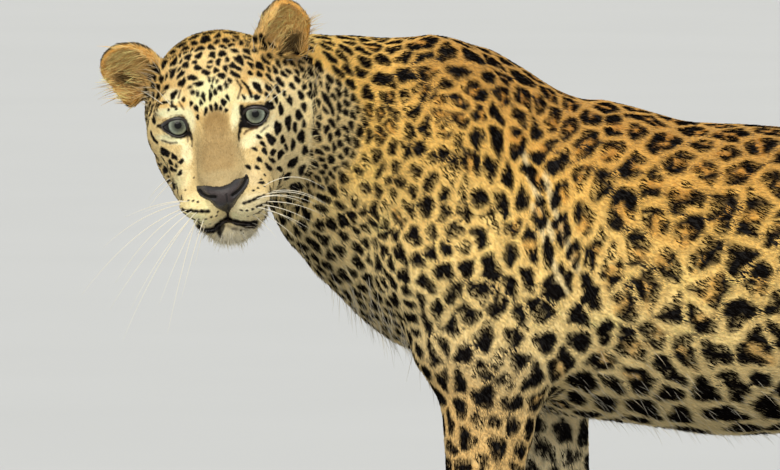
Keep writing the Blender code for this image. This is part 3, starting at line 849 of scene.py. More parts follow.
GRABS = (
    Grab(257, 26, 14, 11, 2), Grab(264, 9, 12, 9, 5), Grab(300, 24, 12, 3.5, 0), Grab(296, 46, 12, 7, 7),
    Grab(130, 92, 12, 1, 12), Grab(142, 98, 10, 0, 8), Grab(112, 84, 9, 0, -3),
    Grab(159, 170, 14, -7, 1), Grab(185, 206, 9, -4.5, 0), Grab(259, 228, 10, 3.5, 2),
    Grab(305, 120, 14, 3, 0), Grab(300, 170, 14, 3, 2),
)

FOLDS = (
    Fold(((498, 110), (512, 160), (524, 215), (540, 265)), 9, -0.0035),
    Fold(((516, 130), (530, 180), (545, 230), (562, 280)), 8, 0.0030),
    Fold(((534, 140), (547, 185), (562, 235), (580, 285)), 7, -0.0030),
    Fold(((552, 160), (566, 205), (582, 260), (600, 320)), 9, 0.0022),
    Fold(((470, 60), (478, 120), (490, 180)), 24, 0.0030),
    Fold(((455, 230), (452, 290), (462, 350)), 26, 0.0030),
    Fold(((540, 350), (552, 385)), 14, 0.0030),
    Fold(((1000, 260), (960, 350), (950, 400)), 16, 0.0030),
    Fold(((190, 206), (202, 212), (214, 213)), 10, 0.0028, True),
    Fold(((240, 209), (252, 206), (264, 200)), 9, 0.0028, True),
    Fold(((184, 217), (194, 224), (207, 229), (217, 225), (226, 218)), 3.2, -0.0034, True),
    Fold(((229, 219), (238, 222), (250, 224), (262, 220), (271, 213)), 3.2, -0.0036, True),
    Fold(((227.6, 206), (227.8, 219)), 2.2, -0.0024, True),
    Fold(((222, 236), (240, 236), (254, 232)), 8, 0.0020, True),
    Fold(((193, 136), (195, 156), (193, 176), (188, 192)), 4.5, -0.0016, True),
    Fold(((239, 130), (243, 150), (250, 168), (262, 182)), 5.0, -0.0018, True),
    Fold(((158, 110), (170, 107), (182, 110)), 5.0, 0.0018, True),
    Fold(((243, 99), (256, 96), (270, 101)), 5.0, 0.0018, True),
    Fold(((212, 128), (216, 150), (220, 176)), 9.0, 0.0012, True),
    Fold(((309, 72), (311, 105), (311, 135), (308, 163), (299, 188), (286, 204)), 5.0, 0.0030, True),
    Fold(((317, 66), (319, 100), (319, 135), (316, 166), (307, 194), (293, 212)), 5.5, -0.0048, True),
)


# ---------------------------------------------------------------- markings


class Kind(Enum):
    """Kinds of spot."""

    SOLID = 1
    ROSETTE = 2


@dataclass
class Spot:
    """One spot on the skin, in its own plane."""

    centre: Array
    normal: Array
    along: Array
    half: float
    stretch: float
    kind: Kind
    seed: int

    def reach(self) -> float:
        """How far the spot can paint."""
        return self.half * max(self.stretch, 1.0) * 1.7 + 0.002

    def plane(self, points: Array) -> Array:
        """Places in the spot's plane, in units of its half widths."""
        across = np.cross(self.normal, self.along)
        away = points - self.centre
        flat = np.stack([away @ self.along / self.stretch, away @ across], axis=1) / self.half
        return flat

    def solid(self, flat: Array, draw: np.random.Generator) -> tuple[Array, Array]:
        """Darkness and tawny fill of a solid spot, as distances in half widths."""
        angle = np.arctan2(flat[:, 1], flat[:, 0])
        outline = np.ones(len(flat))
        for waves, height in ((2, 0.10), (3, 0.10), (5, 0.05)):
            outline += height * np.cos(waves * angle + draw.uniform(0, 6.28))
        return outline - np.linalg.norm(flat, axis=1), np.full(len(flat), -1.0)

    def rosette(self, flat: Array, draw: np.random.Generator) -> tuple[Array, Array]:
        """Darkness and tawny fill of a broken ring, as distances in half widths."""
        radius = np.linalg.norm(flat, axis=1)
        angle = np.arctan2(flat[:, 1], flat[:, 0])
        lobes = int(draw.integers(2, 5))
        turn = draw.uniform(0, 6.28)
        dark = np.full(len(flat), -1.0)
        for lobe in range(lobes):
            middle = turn + 6.283 * (lobe + draw.uniform(-0.16, 0.16)) / lobes
            half_angle = math.pi / lobes * draw.uniform(0.84, 1.12)
            ring = draw.uniform(0.66, 0.74)
            thick = draw.uniform(0.36, 0.47)
            around = (angle - middle + math.pi) % (2 * math.pi) - math.pi
            level = 1 - np.sqrt((around / half_angle) ** 4 + ((radius - ring) / thick) ** 2)
            dark = np.maximum(dark, level * thick)
        return dark, 1.08 - radius


class PointGrid:
    """Finds the places near a point quickly."""

    def __init__(self, points: Array, cell: float = 0.012) -> None:
        """Sort the places into cells."""
        self.points = points
        self.cell = cell
        keys = np.floor(points / cell).astype(np.int64)
        self.low = keys.min(axis=0)
        self.span = keys.max(axis=0) - self.low + 1
        keys -= self.low
        codes = (keys[:, 0] * self.span[1] + keys[:, 1]) * self.span[2] + keys[:, 2]
        self.order = np.argsort(codes, kind="stable")
        self.codes = codes[self.order]

    def near(self, centre: Array, reach: float) -> Array:
        """Numbers of the places within a box round a point."""
        low = np.maximum(np.floor((centre - reach) / self.cell).astype(int) - self.low, 0)
        high = np.minimum(np.floor((centre + reach) / self.cell).astype(int) - self.low, self.span - 1)
        if (low > high).any():
            return np.zeros(0, dtype=int)
        xs, ys = np.meshgrid(np.arange(low[0], high[0] + 1), np.arange(low[1], high[1] + 1))
        base = (xs.ravel() * self.span[1] + ys.ravel()) * self.span[2]
        starts = np.searchsorted(self.codes, base + low[2])
        ends = np.searchsorted(self.codes, base + high[2], side="right")
        rows = [self.order[s:e] for s, e in zip(starts, ends) if e > s]
        return np.concatenate(rows) if rows else np.zeros(0, dtype=int)


@dataclass(frozen=True)
class Stroke:
    """A painted line on the skin along photograph pixels, tapering from one end to the other."""

    line: tuple[tuple[float, float], ...]
    start: float
    end: float
    colour: str
    strength: float = 1.0
    soft: float = 0.9

    def paint(self, points: Array, colours: Array, grid: PointGrid, surface: Surface, tree: BVHTree) -> None:
        """Colour the places that the line covers."""
        places = [on_skin(surface, tree, *pixel) for pixel in self.line]
        places = [np.array(hit[0]) for hit in places if hit]
        count = max(1, len(places) - 1)
        for i, (a, b) in enumerate(zip(places[:-1], places[1:])):
            middle, reach = (a + b) / 2, np.linalg.norm(b - a) / 2 + 0.001 * (max(self.start, self.end) + 3)
            near = grid.near(middle, reach)
            run = b - a
            t = np.clip(((points[near] - a) @ run) / (run @ run + 1e-12), 0, 1)
            away = np.linalg.norm(points[near] - a - t[:, None] * run, axis=1) * 1000
            width = self.start + (self.end - self.start) * (i + t) / count
            width = width * (1 + 0.25 * noise(points[near], 260, 31))
            share = self.strength * np.clip(0.5 + (width - away) / (2 * self.soft), 0, 1)
            colours[near] = blend(colours[near], srgb(self.colour), share)


@dataclass(frozen=True)
class Patch:
    """A soft oval of ground colour on the face, in photograph pixels."""

    column: float
    row: float
    half_wide: float
    half_high: float
    tilt: float
    colour: str
    strength: float = 1.0

    def share(self, seen: Array) -> Array:
        """How much of the patch's colour each place takes."""
        away = seen - np.array([self.column, self.row])
        c, s = math.cos(math.radians(self.tilt)), math.sin(math.radians(self.tilt))
        u = (away[:, 0] * c + away[:, 1] * s) / self.half_wide
        v = (-away[:, 0] * s + away[:, 1] * c) / self.half_high
        return self.strength * (1 - smooth_step(0.55, 1.25, np.sqrt(u * u + v * v)))


BLACK = "0d0907"
BRIDGE = "9a7d4d"
WHITE = "f4e6b8"
DASH = "2a1a0e"
BROWN = "4a3018"

PATCHES = (
    Patch(205, 60, 50, 34, -6, "ecd094", 0.9), Patch(205, 36, 46, 12, -6, "dcae5c", 0.7),
    Patch(214, 96, 30, 20, 0, "f6e6b2", 0.9), Patch(285, 120, 24, 60, 0, "ead6a2", 0.85),
    Patch(155, 150, 18, 40, -12, "e8cf94", 0.85), Patch(173, 97, 11, 9, -10, WHITE, 0.8),
    Patch(256, 85, 10, 8, 20, WHITE, 0.8), Patch(216, 126, 15, 20, 0, BRIDGE), Patch(218, 156, 24, 32, 0, "a68c5e"),
    Patch(222, 179, 26, 10, -8, "b5a074"), Patch(172, 113, 18, 6, -4, WHITE), Patch(190, 120, 6, 14, -8, WHITE),
    Patch(172, 140, 17, 5, 10, WHITE), Patch(187, 154, 6, 13, -4, WHITE), Patch(250, 99, 14, 4, -4, WHITE),
    Patch(235, 116, 5, 15, 6, WHITE), Patch(264, 130, 18, 6, -28, WHITE), Patch(250, 141, 12, 7, -25, WHITE),
    Patch(183, 178, 9, 14, 15, "f0dfab"), Patch(252, 176, 10, 12, -20, "dfc997"),
    Patch(200, 207, 24, 15, 12, "ecd9a2"), Patch(196, 219, 16, 7, 12, WHITE, 0.7),
    Patch(251, 206, 22, 14, -14, "e2d3a8"), Patch(240, 214, 13, 8, -14, WHITE, 0.7),
    Patch(234, 238, 27, 12, -6, "cac2a8"), Patch(290, 176, 16, 30, 8, "d8c696", 0.8),
    Patch(152, 165, 10, 26, -12, "dfc084", 0.7),
)

# Painted shade: a near-black oval in the hollow at the base of each ear's cup.
EAR_HOLLOW_SHADE = (Patch(291, 46, 15, 11, -50, "1c120a", 0.97), Patch(131, 79, 15, 8, 22, "1c120a", 0.97))

# Spots of the face: column, row, half width and stretch in pixels, and tilt in degrees, clockwise from level
FACE_SPOTS = (
    (218, 62, 2, 1.5, -80), (227, 60, 1.9, 1.5, 60), (216, 70, 1.9, 1.4, -80), (226, 68.5, 2, 1.6, 50),
    (213.5, 79.5, 1.8, 1.4, -70), (229.5, 80.5, 1.8, 1.4, 40), (164.6, 63, 2.2, 1.9, -62),
    (174.6, 62.2, 2.6, 1.9, -62), (172.9, 71.3, 2.3, 2.6, -60), (180.9, 73.8, 2, 2, -60), (182, 82.1, 2.1, 2, -60),
    (161.3, 79.6, 2, 1.7, -65), (187.8, 57.2, 2.3, 1.4, -40), (198.6, 55.6, 2.2, 1.6, -30),
    (194.5, 62.2, 1.7, 1.4, -40), (197.8, 67.7, 2.1, 1.5, 10), (211.9, 55.6, 2.3, 1.4, -60),
    (210.5, 61.5, 2, 1.6, -70), (209.4, 66.8, 1.9, 1.4, -70), (221.8, 53.4, 2.6, 1.1, 0), (193.7, 43.4, 2, 2, -8),
    (172.9, 52.2, 2, 2, -14), (185.4, 48.9, 2, 2, -22), (199.5, 48.9, 2, 1.9, -8), (205.3, 39.8, 2.8, 1.5, -10),
    (217.7, 35.7, 2, 1.8, -50), (216.9, 41.5, 2, 1.4, 0), (226, 40.6, 2, 1.8, -4), (231, 45.5, 1.9, 1.4, 0),
    (236.8, 37.5, 2, 1.5, 10), (241.7, 42.8, 1.9, 1.4, 20), (248.4, 36.5, 2, 1.5, 20), (234.3, 51.4, 2.2, 1.8, 45),
    (238.4, 58.9, 2.8, 1.9, 48), (246.7, 51.4, 2.1, 1.7, 48), (246.7, 44.8, 1.7, 1.3, 30), (255, 49.8, 2, 1.5, 40),
    (234.3, 66.3, 2.8, 1.8, 30), (234.3, 73.5, 2.1, 2, 36), (221.8, 75.5, 2.2, 1.5, 0), (206.1, 72.1, 2.2, 1.4, 0),
    (192, 77.9, 2.2, 1.7, 0), (198.6, 83.7, 1.9, 2, -12), (259.2, 66.3, 2.5, 1.9, 42), (259.2, 73.5, 1.9, 1.6, 50),
    (250, 73, 1.6, 1.4, 20), (268.3, 68.8, 1.9, 1.6, 50), (279.9, 82.1, 2.4, 1.7, 45), (277.4, 88.9, 2.3, 1.8, 60),
    (257.5, 87.1, 2.9, 1.8, 50), (226, 84.6, 1.8, 2.2, 88), (220.2, 88, 2.4, 1.1, 0), (190.3, 87.5, 2, 1.2, 0),
    (192.3, 92, 2.1, 1.3, 60), (197.7, 93.5, 1.6, 1.8, 80), (203, 96.8, 2, 1.9, 75), (201, 102, 1.6, 1.9, 80),
    (210.4, 94.8, 1.8, 2.5, 90), (215, 92, 1.8, 1.7, 80), (211.7, 86.5, 1.5, 1.7, 80), (223.4, 102.5, 2.2, 1.5, 60),
    (227.4, 97.5, 1.6, 1.7, 60), (196.3, 108.2, 1.8, 1.6, 80), (205.7, 110.9, 1.6, 2, 105), (211, 107.6, 1.5, 1.8, 80),
    (215.8, 106.4, 1.9, 1.6, 90), (220.6, 107.8, 1.6, 1.5, 90), (197.7, 117, 1.5, 1.5, 90),
    (226.2, 110.2, 1.4, 1.3, 60), (191.2, 103.5, 1.4, 1.9, 100), (209.5, 79.5, 1.6, 1.5, 70),
    (216.5, 80.5, 1.5, 1.4, 80), (289, 99.5, 2.7, 1.7, 70), (303.5, 106.9, 2.3, 1.8, 65), (280.7, 109.4, 2.6, 1.9, 84),
    (299, 115.3, 2.9, 1.8, 78), (288.2, 122.7, 3, 2, 94), (277.4, 127.7, 3.3, 1.6, 100), (294.8, 126.9, 2.3, 1.7, 85),
    (301.4, 136, 3.1, 2, 96), (293.1, 144.3, 2.2, 2.1, 90), (282.4, 139.8, 2.2, 1.6, 92), (270.8, 139.3, 3.4, 1.4, 75),
    (280.4, 154.2, 2.8, 1.6, -52), (293.1, 162.5, 3, 1.8, -56), (264.6, 151.4, 2.1, 1.5, 45),
    (272.8, 152.6, 1.9, 2, -62), (259.3, 159.6, 1.9, 1.5, 32), (268.7, 167, 2.1, 1.8, 50),
    (279.4, 168.8, 2.1, 1.4, 20), (248.6, 167, 1.9, 1.4, 30), (304, 124, 2, 2, 80), (305, 150, 2.4, 1.9, 90),
    (287, 176, 2.4, 1.6, -40), (302, 170, 2.8, 1.7, -60), (297, 188, 4.4, 1.5, -14), (281, 192, 2.6, 2, -16),
    (290, 202, 3.4, 1.6, 10), (306, 200, 3.2, 1.4, 60), (310.6, 73, 2.3, 1.8, 60), (309.7, 48, 2.2, 1.7, 50),
    (318.8, 66, 2.6, 2, 60), (326, 99, 2.8, 6.5, 62), (318, 137, 2.8, 3.6, 61), (257.1, 96.9, 2.1, 1.4, 0),
    (275.5, 98.8, 1.9, 2.3, 72), (241.6, 105.7, 1.3, 1.2, 0), (269.3, 105.7, 3.4, 1.25, 0),
    (147, 119.6, 1.8, 1.9, -70), (154.2, 119.6, 1.6, 2.6, 84), (146.6, 141, 1.8, 2.2, 85), (152.8, 152, 2.8, 2.4, 78),
    (165.5, 152.4, 3.2, 1.5, 38), (173.6, 156.6, 2.1, 1.7, 42), (180.3, 162, 2, 1.7, -46), (165.4, 171, 2.8, 1.8, 52),
    (174.4, 184.3, 3.1, 1.6, 32), (173, 169, 1.9, 1.7, 42), (159.6, 165, 2, 1.9, 60), (180, 173, 1.6, 1.7, -50),
    (169.6, 180.5, 2, 1.6, 45), (168.6, 109.8, 1.1, 1.2, 0), (176.3, 109.1, 1.1, 1.2, 0), (165.5, 88.8, 1.9, 2.4, -48),
    (173.8, 94.6, 2.2, 1.9, -60), (158, 96, 1.8, 2, -62), (152.5, 107, 1.8, 1.8, -64), (183.6, 99.5, 1.5, 1.6, 90),
    (244, 97, 1.5, 1.5, 60), (285, 94, 1.8, 1.8, 60), (268, 88, 2, 1.9, 55), (266.5, 94.5, 1.6, 1.7, 60),
    (283.8, 74, 2, 1.6, 40), (292, 86, 2, 1.8, 55), (301, 95, 2.2, 1.9, 62), (150.7, 147.6, 1.8, 2.6, 80),
    (158, 180, 1.8, 2.2, 66), (146.6, 126, 2, 1.6, 80), (170.5, 162, 1.7, 1.9, 46), (176, 166, 1.6, 1.7, -50),
    (168, 176, 1.7, 1.9, 45), (314.5, 165, 3, 1.9, 70), (311.6, 154.2, 1.5, 2.6, 84), (259, 137, 1.4, 2.2, 40),
    (263, 144, 1.5, 2.2, 40), (255, 149, 1.3, 2.2, 35), (257.5, 167.5, 1.5, 1.8, 30), (272, 160, 1.7, 2, 50),
    (286, 148, 1.8, 1.8, 80), (262, 182.5, 1.5, 1.8, -10),
)

# Rows of dots where the whiskers grow: pixels along each row and the dots' half width
WHISKER_ROWS = (
    (((182.4, 200.5), (188.4, 200.5), (193.1, 200.8), (197.8, 201.8)), 1.3),
    (((182.4, 209.2), (187.1, 211.2), (191.1, 210.5), (196.4, 211.5), (201.8, 211.2), (207.8, 211.2)), 1.7),
    (((198.4, 219.2), (205.8, 219.2), (211.2, 217.2), (216.5, 215.9), (217.9, 211.9)), 1.3),
    (((205.1, 225.3), (209.8, 223.9)), 1.1),
    (((185.4, 190.1), (193.8, 177.7)), 1),
    (((253.4, 190.4), (258.1, 188.1), (264.8, 186.4), (269.4, 182.4), (261.4, 179.4), (264.8, 175)), 1.3),
    (((244, 203.2), (249.3, 201.5), (254, 199.5), (258.7, 197.1), (264.1, 195.8), (268.8, 192.5)), 1.5),
    (((241.3, 210.2), (247, 210.5), (252.7, 209.2), (257.4, 206.5), (261.4, 205.2), (266.8, 202.5)), 1.4),
    (((248.3, 216.2), (253.4, 214.6), (258.7, 213.2), (258.1, 217.9)), 1.2),
    (((233, 229.5), (241, 230.5), (243, 233.5)), 1),
)

STROKES = (
    Stroke(((254.8, 133), (261, 128), (266.3, 122.5), (273.9, 116)), 2.2, 1.8, WHITE, 0.8),
    Stroke(((157, 126), (160.5, 125.3), (164, 123.1), (167.5, 121), (171, 119.4), (174.6, 118.2), (179.1, 117.5),
            (183, 118.2), (185.6, 120.7), (187.4, 124.6), (188.6, 128.8), (190.3, 134)), 1.6, 1.8, BLACK),
    Stroke(((190.3, 134.4), (184.4, 136.2), (180.9, 137), (176.7, 137), (172.4, 135.7), (168.4, 133.2),
            (164.4, 130.6), (159.5, 127)), 1.5, 1.3, BLACK),
    Stroke(((162.3, 120.7), (165.4, 119), (171, 116.2), (176.3, 115.2), (181.6, 115), (185, 117.2)),
           0.6, 0.5, "6b4a26", 0.8),
    Stroke(((190.5, 134), (191.9, 139), (192, 146.5)), 2, 0.7, BLACK, 0.95),
    Stroke(((187.5, 136), (187.9, 142)), 1, 0.5, DASH, 0.9),
    Stroke(((157, 109.5), (158.8, 104.8), (162.3, 102.8), (167.2, 102.3)), 1.7, 2.3, BLACK),
    Stroke(((171.7, 101.5), (172, 105.8), (175.6, 106.8)), 1.9, 1.7, BLACK),
    Stroke(((178.8, 101.8), (181.6, 106), (183.3, 108.8)), 0.9, 0.8, BROWN, 0.9),
    Stroke(((161.6, 140.3), (165.8, 141.6), (170, 143.2), (177, 142.6)), 0.8, 1, DASH, 0.9),
    Stroke(((151, 132.5), (153.6, 138.6), (157, 142.1)), 2.4, 2, BLACK),
    Stroke(((240.4, 106.2), (244.1, 108.4), (247.9, 106.9), (252.5, 106.1), (257.5, 106.1), (262, 106.9),
            (266, 107.9), (270, 106.4)), 1.3, 2.8, BLACK),
    Stroke(((241.8, 108.6), (242, 114), (241.6, 119.5), (241, 125), (239.6, 131), (238.4, 137), (238.7, 140.5)),
           3, 1.4, BLACK),
    Stroke(((243.6, 112.5), (243.4, 121.5)), 2.6, 3.2, BLACK),
    Stroke(((240.6, 125), (246, 125.2), (251, 125.6), (256.3, 125.8), (260.8, 124), (264.9, 120.2), (267.4, 116),
            (268.8, 112)), 3.4, 1.6, BLACK),
    Stroke(((257, 127.6), (251, 129), (246.4, 131), (244, 134)), 1.2, 1, BROWN, 0.85),
    Stroke(((248.7, 104.2), (254.8, 103.4), (260.5, 102.6), (264.7, 103.4)), 0.6, 0.5, "6b4a26", 0.7),
    Stroke(((268.6, 125.6), (264.4, 128.3), (260.9, 132.1)), 0.8, 0.8, DASH, 0.8),
    Stroke(((180.4, 90.5), (178.2, 98)), 1.2, 1.1, "3a2413", 0.9),
    Stroke(((236.2, 79.5), (241.2, 87.5), (238, 98)), 1.2, 1.1, "2e1a0d", 0.95),
    Stroke(((241.6, 80.6), (247.8, 87), (251.6, 96.4)), 1.6, 1.9, BLACK, 1),
    Stroke(((182.4, 209.4), (187.1, 211.2), (191.1, 210.7), (196.4, 211.5), (201.8, 211.2), (208.5, 211.4)),
           1.7, 1.7, BLACK, 0.95),
    Stroke(((244, 203.2), (249.3, 201.5), (254, 199.5), (258.7, 197.1), (264.1, 195.8), (270, 192)),
           1.5, 1.3, BLACK, 0.95),
    Stroke(((257.4, 206.5), (261.4, 205.2), (266.8, 202.5), (272, 200.6)), 1.4, 1.4, BLACK, 0.95),
    Stroke(((227.9, 205), (227.9, 218.6)), 1.6, 1.9, BLACK),
    Stroke(((226, 220.8), (229.5, 221)), 3.8, 3.8, BLACK),
    Stroke(((229, 221), (235.3, 222.7), (242, 223.9), (248.7, 224.6), (255.4, 224.2), (261.4, 222.4), (268, 221.6),
            (272, 216)), 3, 4.4, BLACK),
    Stroke(((227, 220), (221.9, 222.7), (217.9, 226.7), (213.2, 230.2), (206.5, 230.8), (200.5, 228.8), (195.1, 226),
            (189.7, 222.6), (184.7, 216.5)), 3.6, 3, BLACK),
    # Painted shadow on the lower lip below the middle of the mouth.
    Stroke(((222, 227), (219, 233), (221, 237)), 3.8, 2, BLACK, 0.9),
    # Black lower lip, and painted shade under the left whisker pad.
    Stroke(((191, 224), (199, 231), (208, 234.5), (218, 233.5)), 2.6, 3.6, BLACK, 0.95),
    Stroke(((228, 226), (236, 229), (246, 229), (256, 226)), 1.8, 1.2, DASH, 0.6, 1.6),
    # Painted shade under the left whisker pad.
    Stroke(((207, 231.5), (213, 231.5), (219, 229.5)), 2.4, 1.8, BLACK, 0.9),
)

PALE_FOLDS = (
    Stroke(((522, 148), (530, 176), (541, 205), (552, 236)), 3, 4.2, "f6e2ae", 0.8, 1.6),
    Stroke(((545, 176), (553, 204), (564, 236), (577, 268)), 3, 4.4, "f6e2ae", 0.8, 1.6),
    Stroke(((533, 205), (541, 228), (552, 262), (566, 292)), 2.4, 3.6, "f6e2ae", 0.75, 1.6),
    Stroke(((309, 70), (311, 105), (311, 135), (308, 163), (299, 188), (287, 204)), 2.6, 3, "f2e0ae", 0.7, 2),
)

NOSE_OUTLINE = (
    (197.1, 186.1), (197.6, 191.1), (200.6, 195.6), (205.1, 198.6), (210, 200.6), (213.2, 203.8), (216.5, 207.1),
    (221.5, 209.8), (225.9, 212), (228.1, 212.6), (230.6, 208.9), (234.5, 204.4), (237.4, 199.1), (242, 193.5),
    (246.2, 187.5), (248.8, 180.4), (246.9, 174.8), (243.4, 178), (238.6, 178.8), (233.9, 180.5), (230.6, 183.4),
    (225.2, 185.8), (218.5, 187), (211.2, 186.6), (204.2, 185.8), (200.5, 186.4),
)
NOSTRILS = (
    ((200, 190), (203, 193.6), (208.5, 196.2), (215.2, 196.8)),
    ((246.2, 178), (243.6, 183.6), (239.2, 189.6), (232.6, 195)),
)
LIP_LINES = (
    (((227.9, 207), (227.9, 213), (227.8, 220)), 0.9, 1.6),
    (((226, 220.4), (231, 221.6), (235.3, 222.9), (242, 224), (248.7, 224.6), (255.4, 224.2), (261.4, 222.4),
      (267, 221.4), (271, 217)), 2, 1),
    (((229, 220.2), (225, 220.8), (221.9, 222.9), (217.9, 226.9), (213.2, 230.2), (206.5, 230.8), (200.5, 228.8),
      (195.1, 226), (189.7, 222.6), (185, 217)), 2.1, 1),
)

# Spots of the body by the place seen from the side: column, row, spacing, half width, stretch, tilt, rosette share
BODY_SPOTS = np.array([
    (330, 60, 17, 4.6, 1.7, 58, 0.05), (380, 60, 19, 5.8, 1.3, 45, 0.15), (345, 130, 14, 3.8, 1.9, 72, 0),
    (390, 150, 16, 4.8, 1.6, 80, 0.1), (360, 220, 14, 4.2, 1.5, 62, 0), (320, 240, 16, 5, 1.3, 40, 0),
    (440, 60, 21, 7.4, 1.2, 20, 0.35), (485, 70, 23, 8, 1.3, 35, 0.3), (430, 130, 19, 6.4, 1.5, 72, 0.3),
    (450, 200, 20, 7.2, 1.3, 80, 0.1), (420, 260, 19, 7, 1.2, 62, 0), (475, 270, 23, 8.6, 1.2, 80, 0.05),
    (400, 300, 17, 6, 1.3, 45, 0), (480, 340, 25, 10, 1.2, 84, 0), (500, 180, 25, 8.6, 1.8, 84, 0.4),
    (520, 120, 25, 9, 1.8, 98, 0.6), (480, 420, 24, 9.6, 1.2, 82, 0), (470, 520, 21, 7.6, 1.2, 85, 0),
    (465, 620, 15, 5, 1.2, 85, 0), (440, 690, 10, 3, 1.1, 10, 0), (555, 160, 30, 11, 1.8, 96, 0.9),
    (555, 235, 29, 9.6, 2.1, 80, 0.6), (560, 310, 29, 10, 1.6, 60, 0.2), (620, 145, 31, 12, 1.5, 120, 0.95),
    (640, 210, 36, 14.5, 1.5, 96, 1), (640, 285, 36, 13.8, 1.5, 76, 0.95), (620, 350, 34, 12, 1.5, 60, 0.35),
    (650, 405, 37, 13, 1.4, 28, 0), (740, 150, 34, 13, 1.5, 145, 0.95), (740, 220, 37, 15, 1.4, 110, 1),
    (740, 300, 36, 13.6, 1.4, 90, 0.85), (740, 370, 36, 13, 1.4, 62, 0.2), (740, 425, 39, 13, 1.4, 22, 0),
    (900, 150, 34, 13, 1.4, 150, 0.95), (900, 235, 37, 15, 1.3, 115, 1), (900, 320, 37, 14, 1.3, 85, 0.6),
    (1050, 150, 32, 12, 1.3, 145, 0.8), (1050, 240, 34, 13, 1.3, 105, 0.7), (1040, 330, 32, 12, 1.15, 80, 0.1),
    (1040, 400, 28, 10.6, 1.15, 82, 0), (1090, 500, 23, 8.2, 1.2, 82, 0), (1130, 570, 17, 5.8, 1.2, 85, 0),
    (1110, 630, 14, 4.6, 1.2, 80, 0), (1075, 692, 10, 3, 1.1, 10, 0), (1165, 175, 27, 9.6, 1.3, 60, 0.1),
    (1260, 330, 25, 9.4, 1.3, 80, 0), (1360, 585, 25, 9.8, 1.2, 10, 0), (1550, 480, 27, 11, 1.3, 10, 0),
])


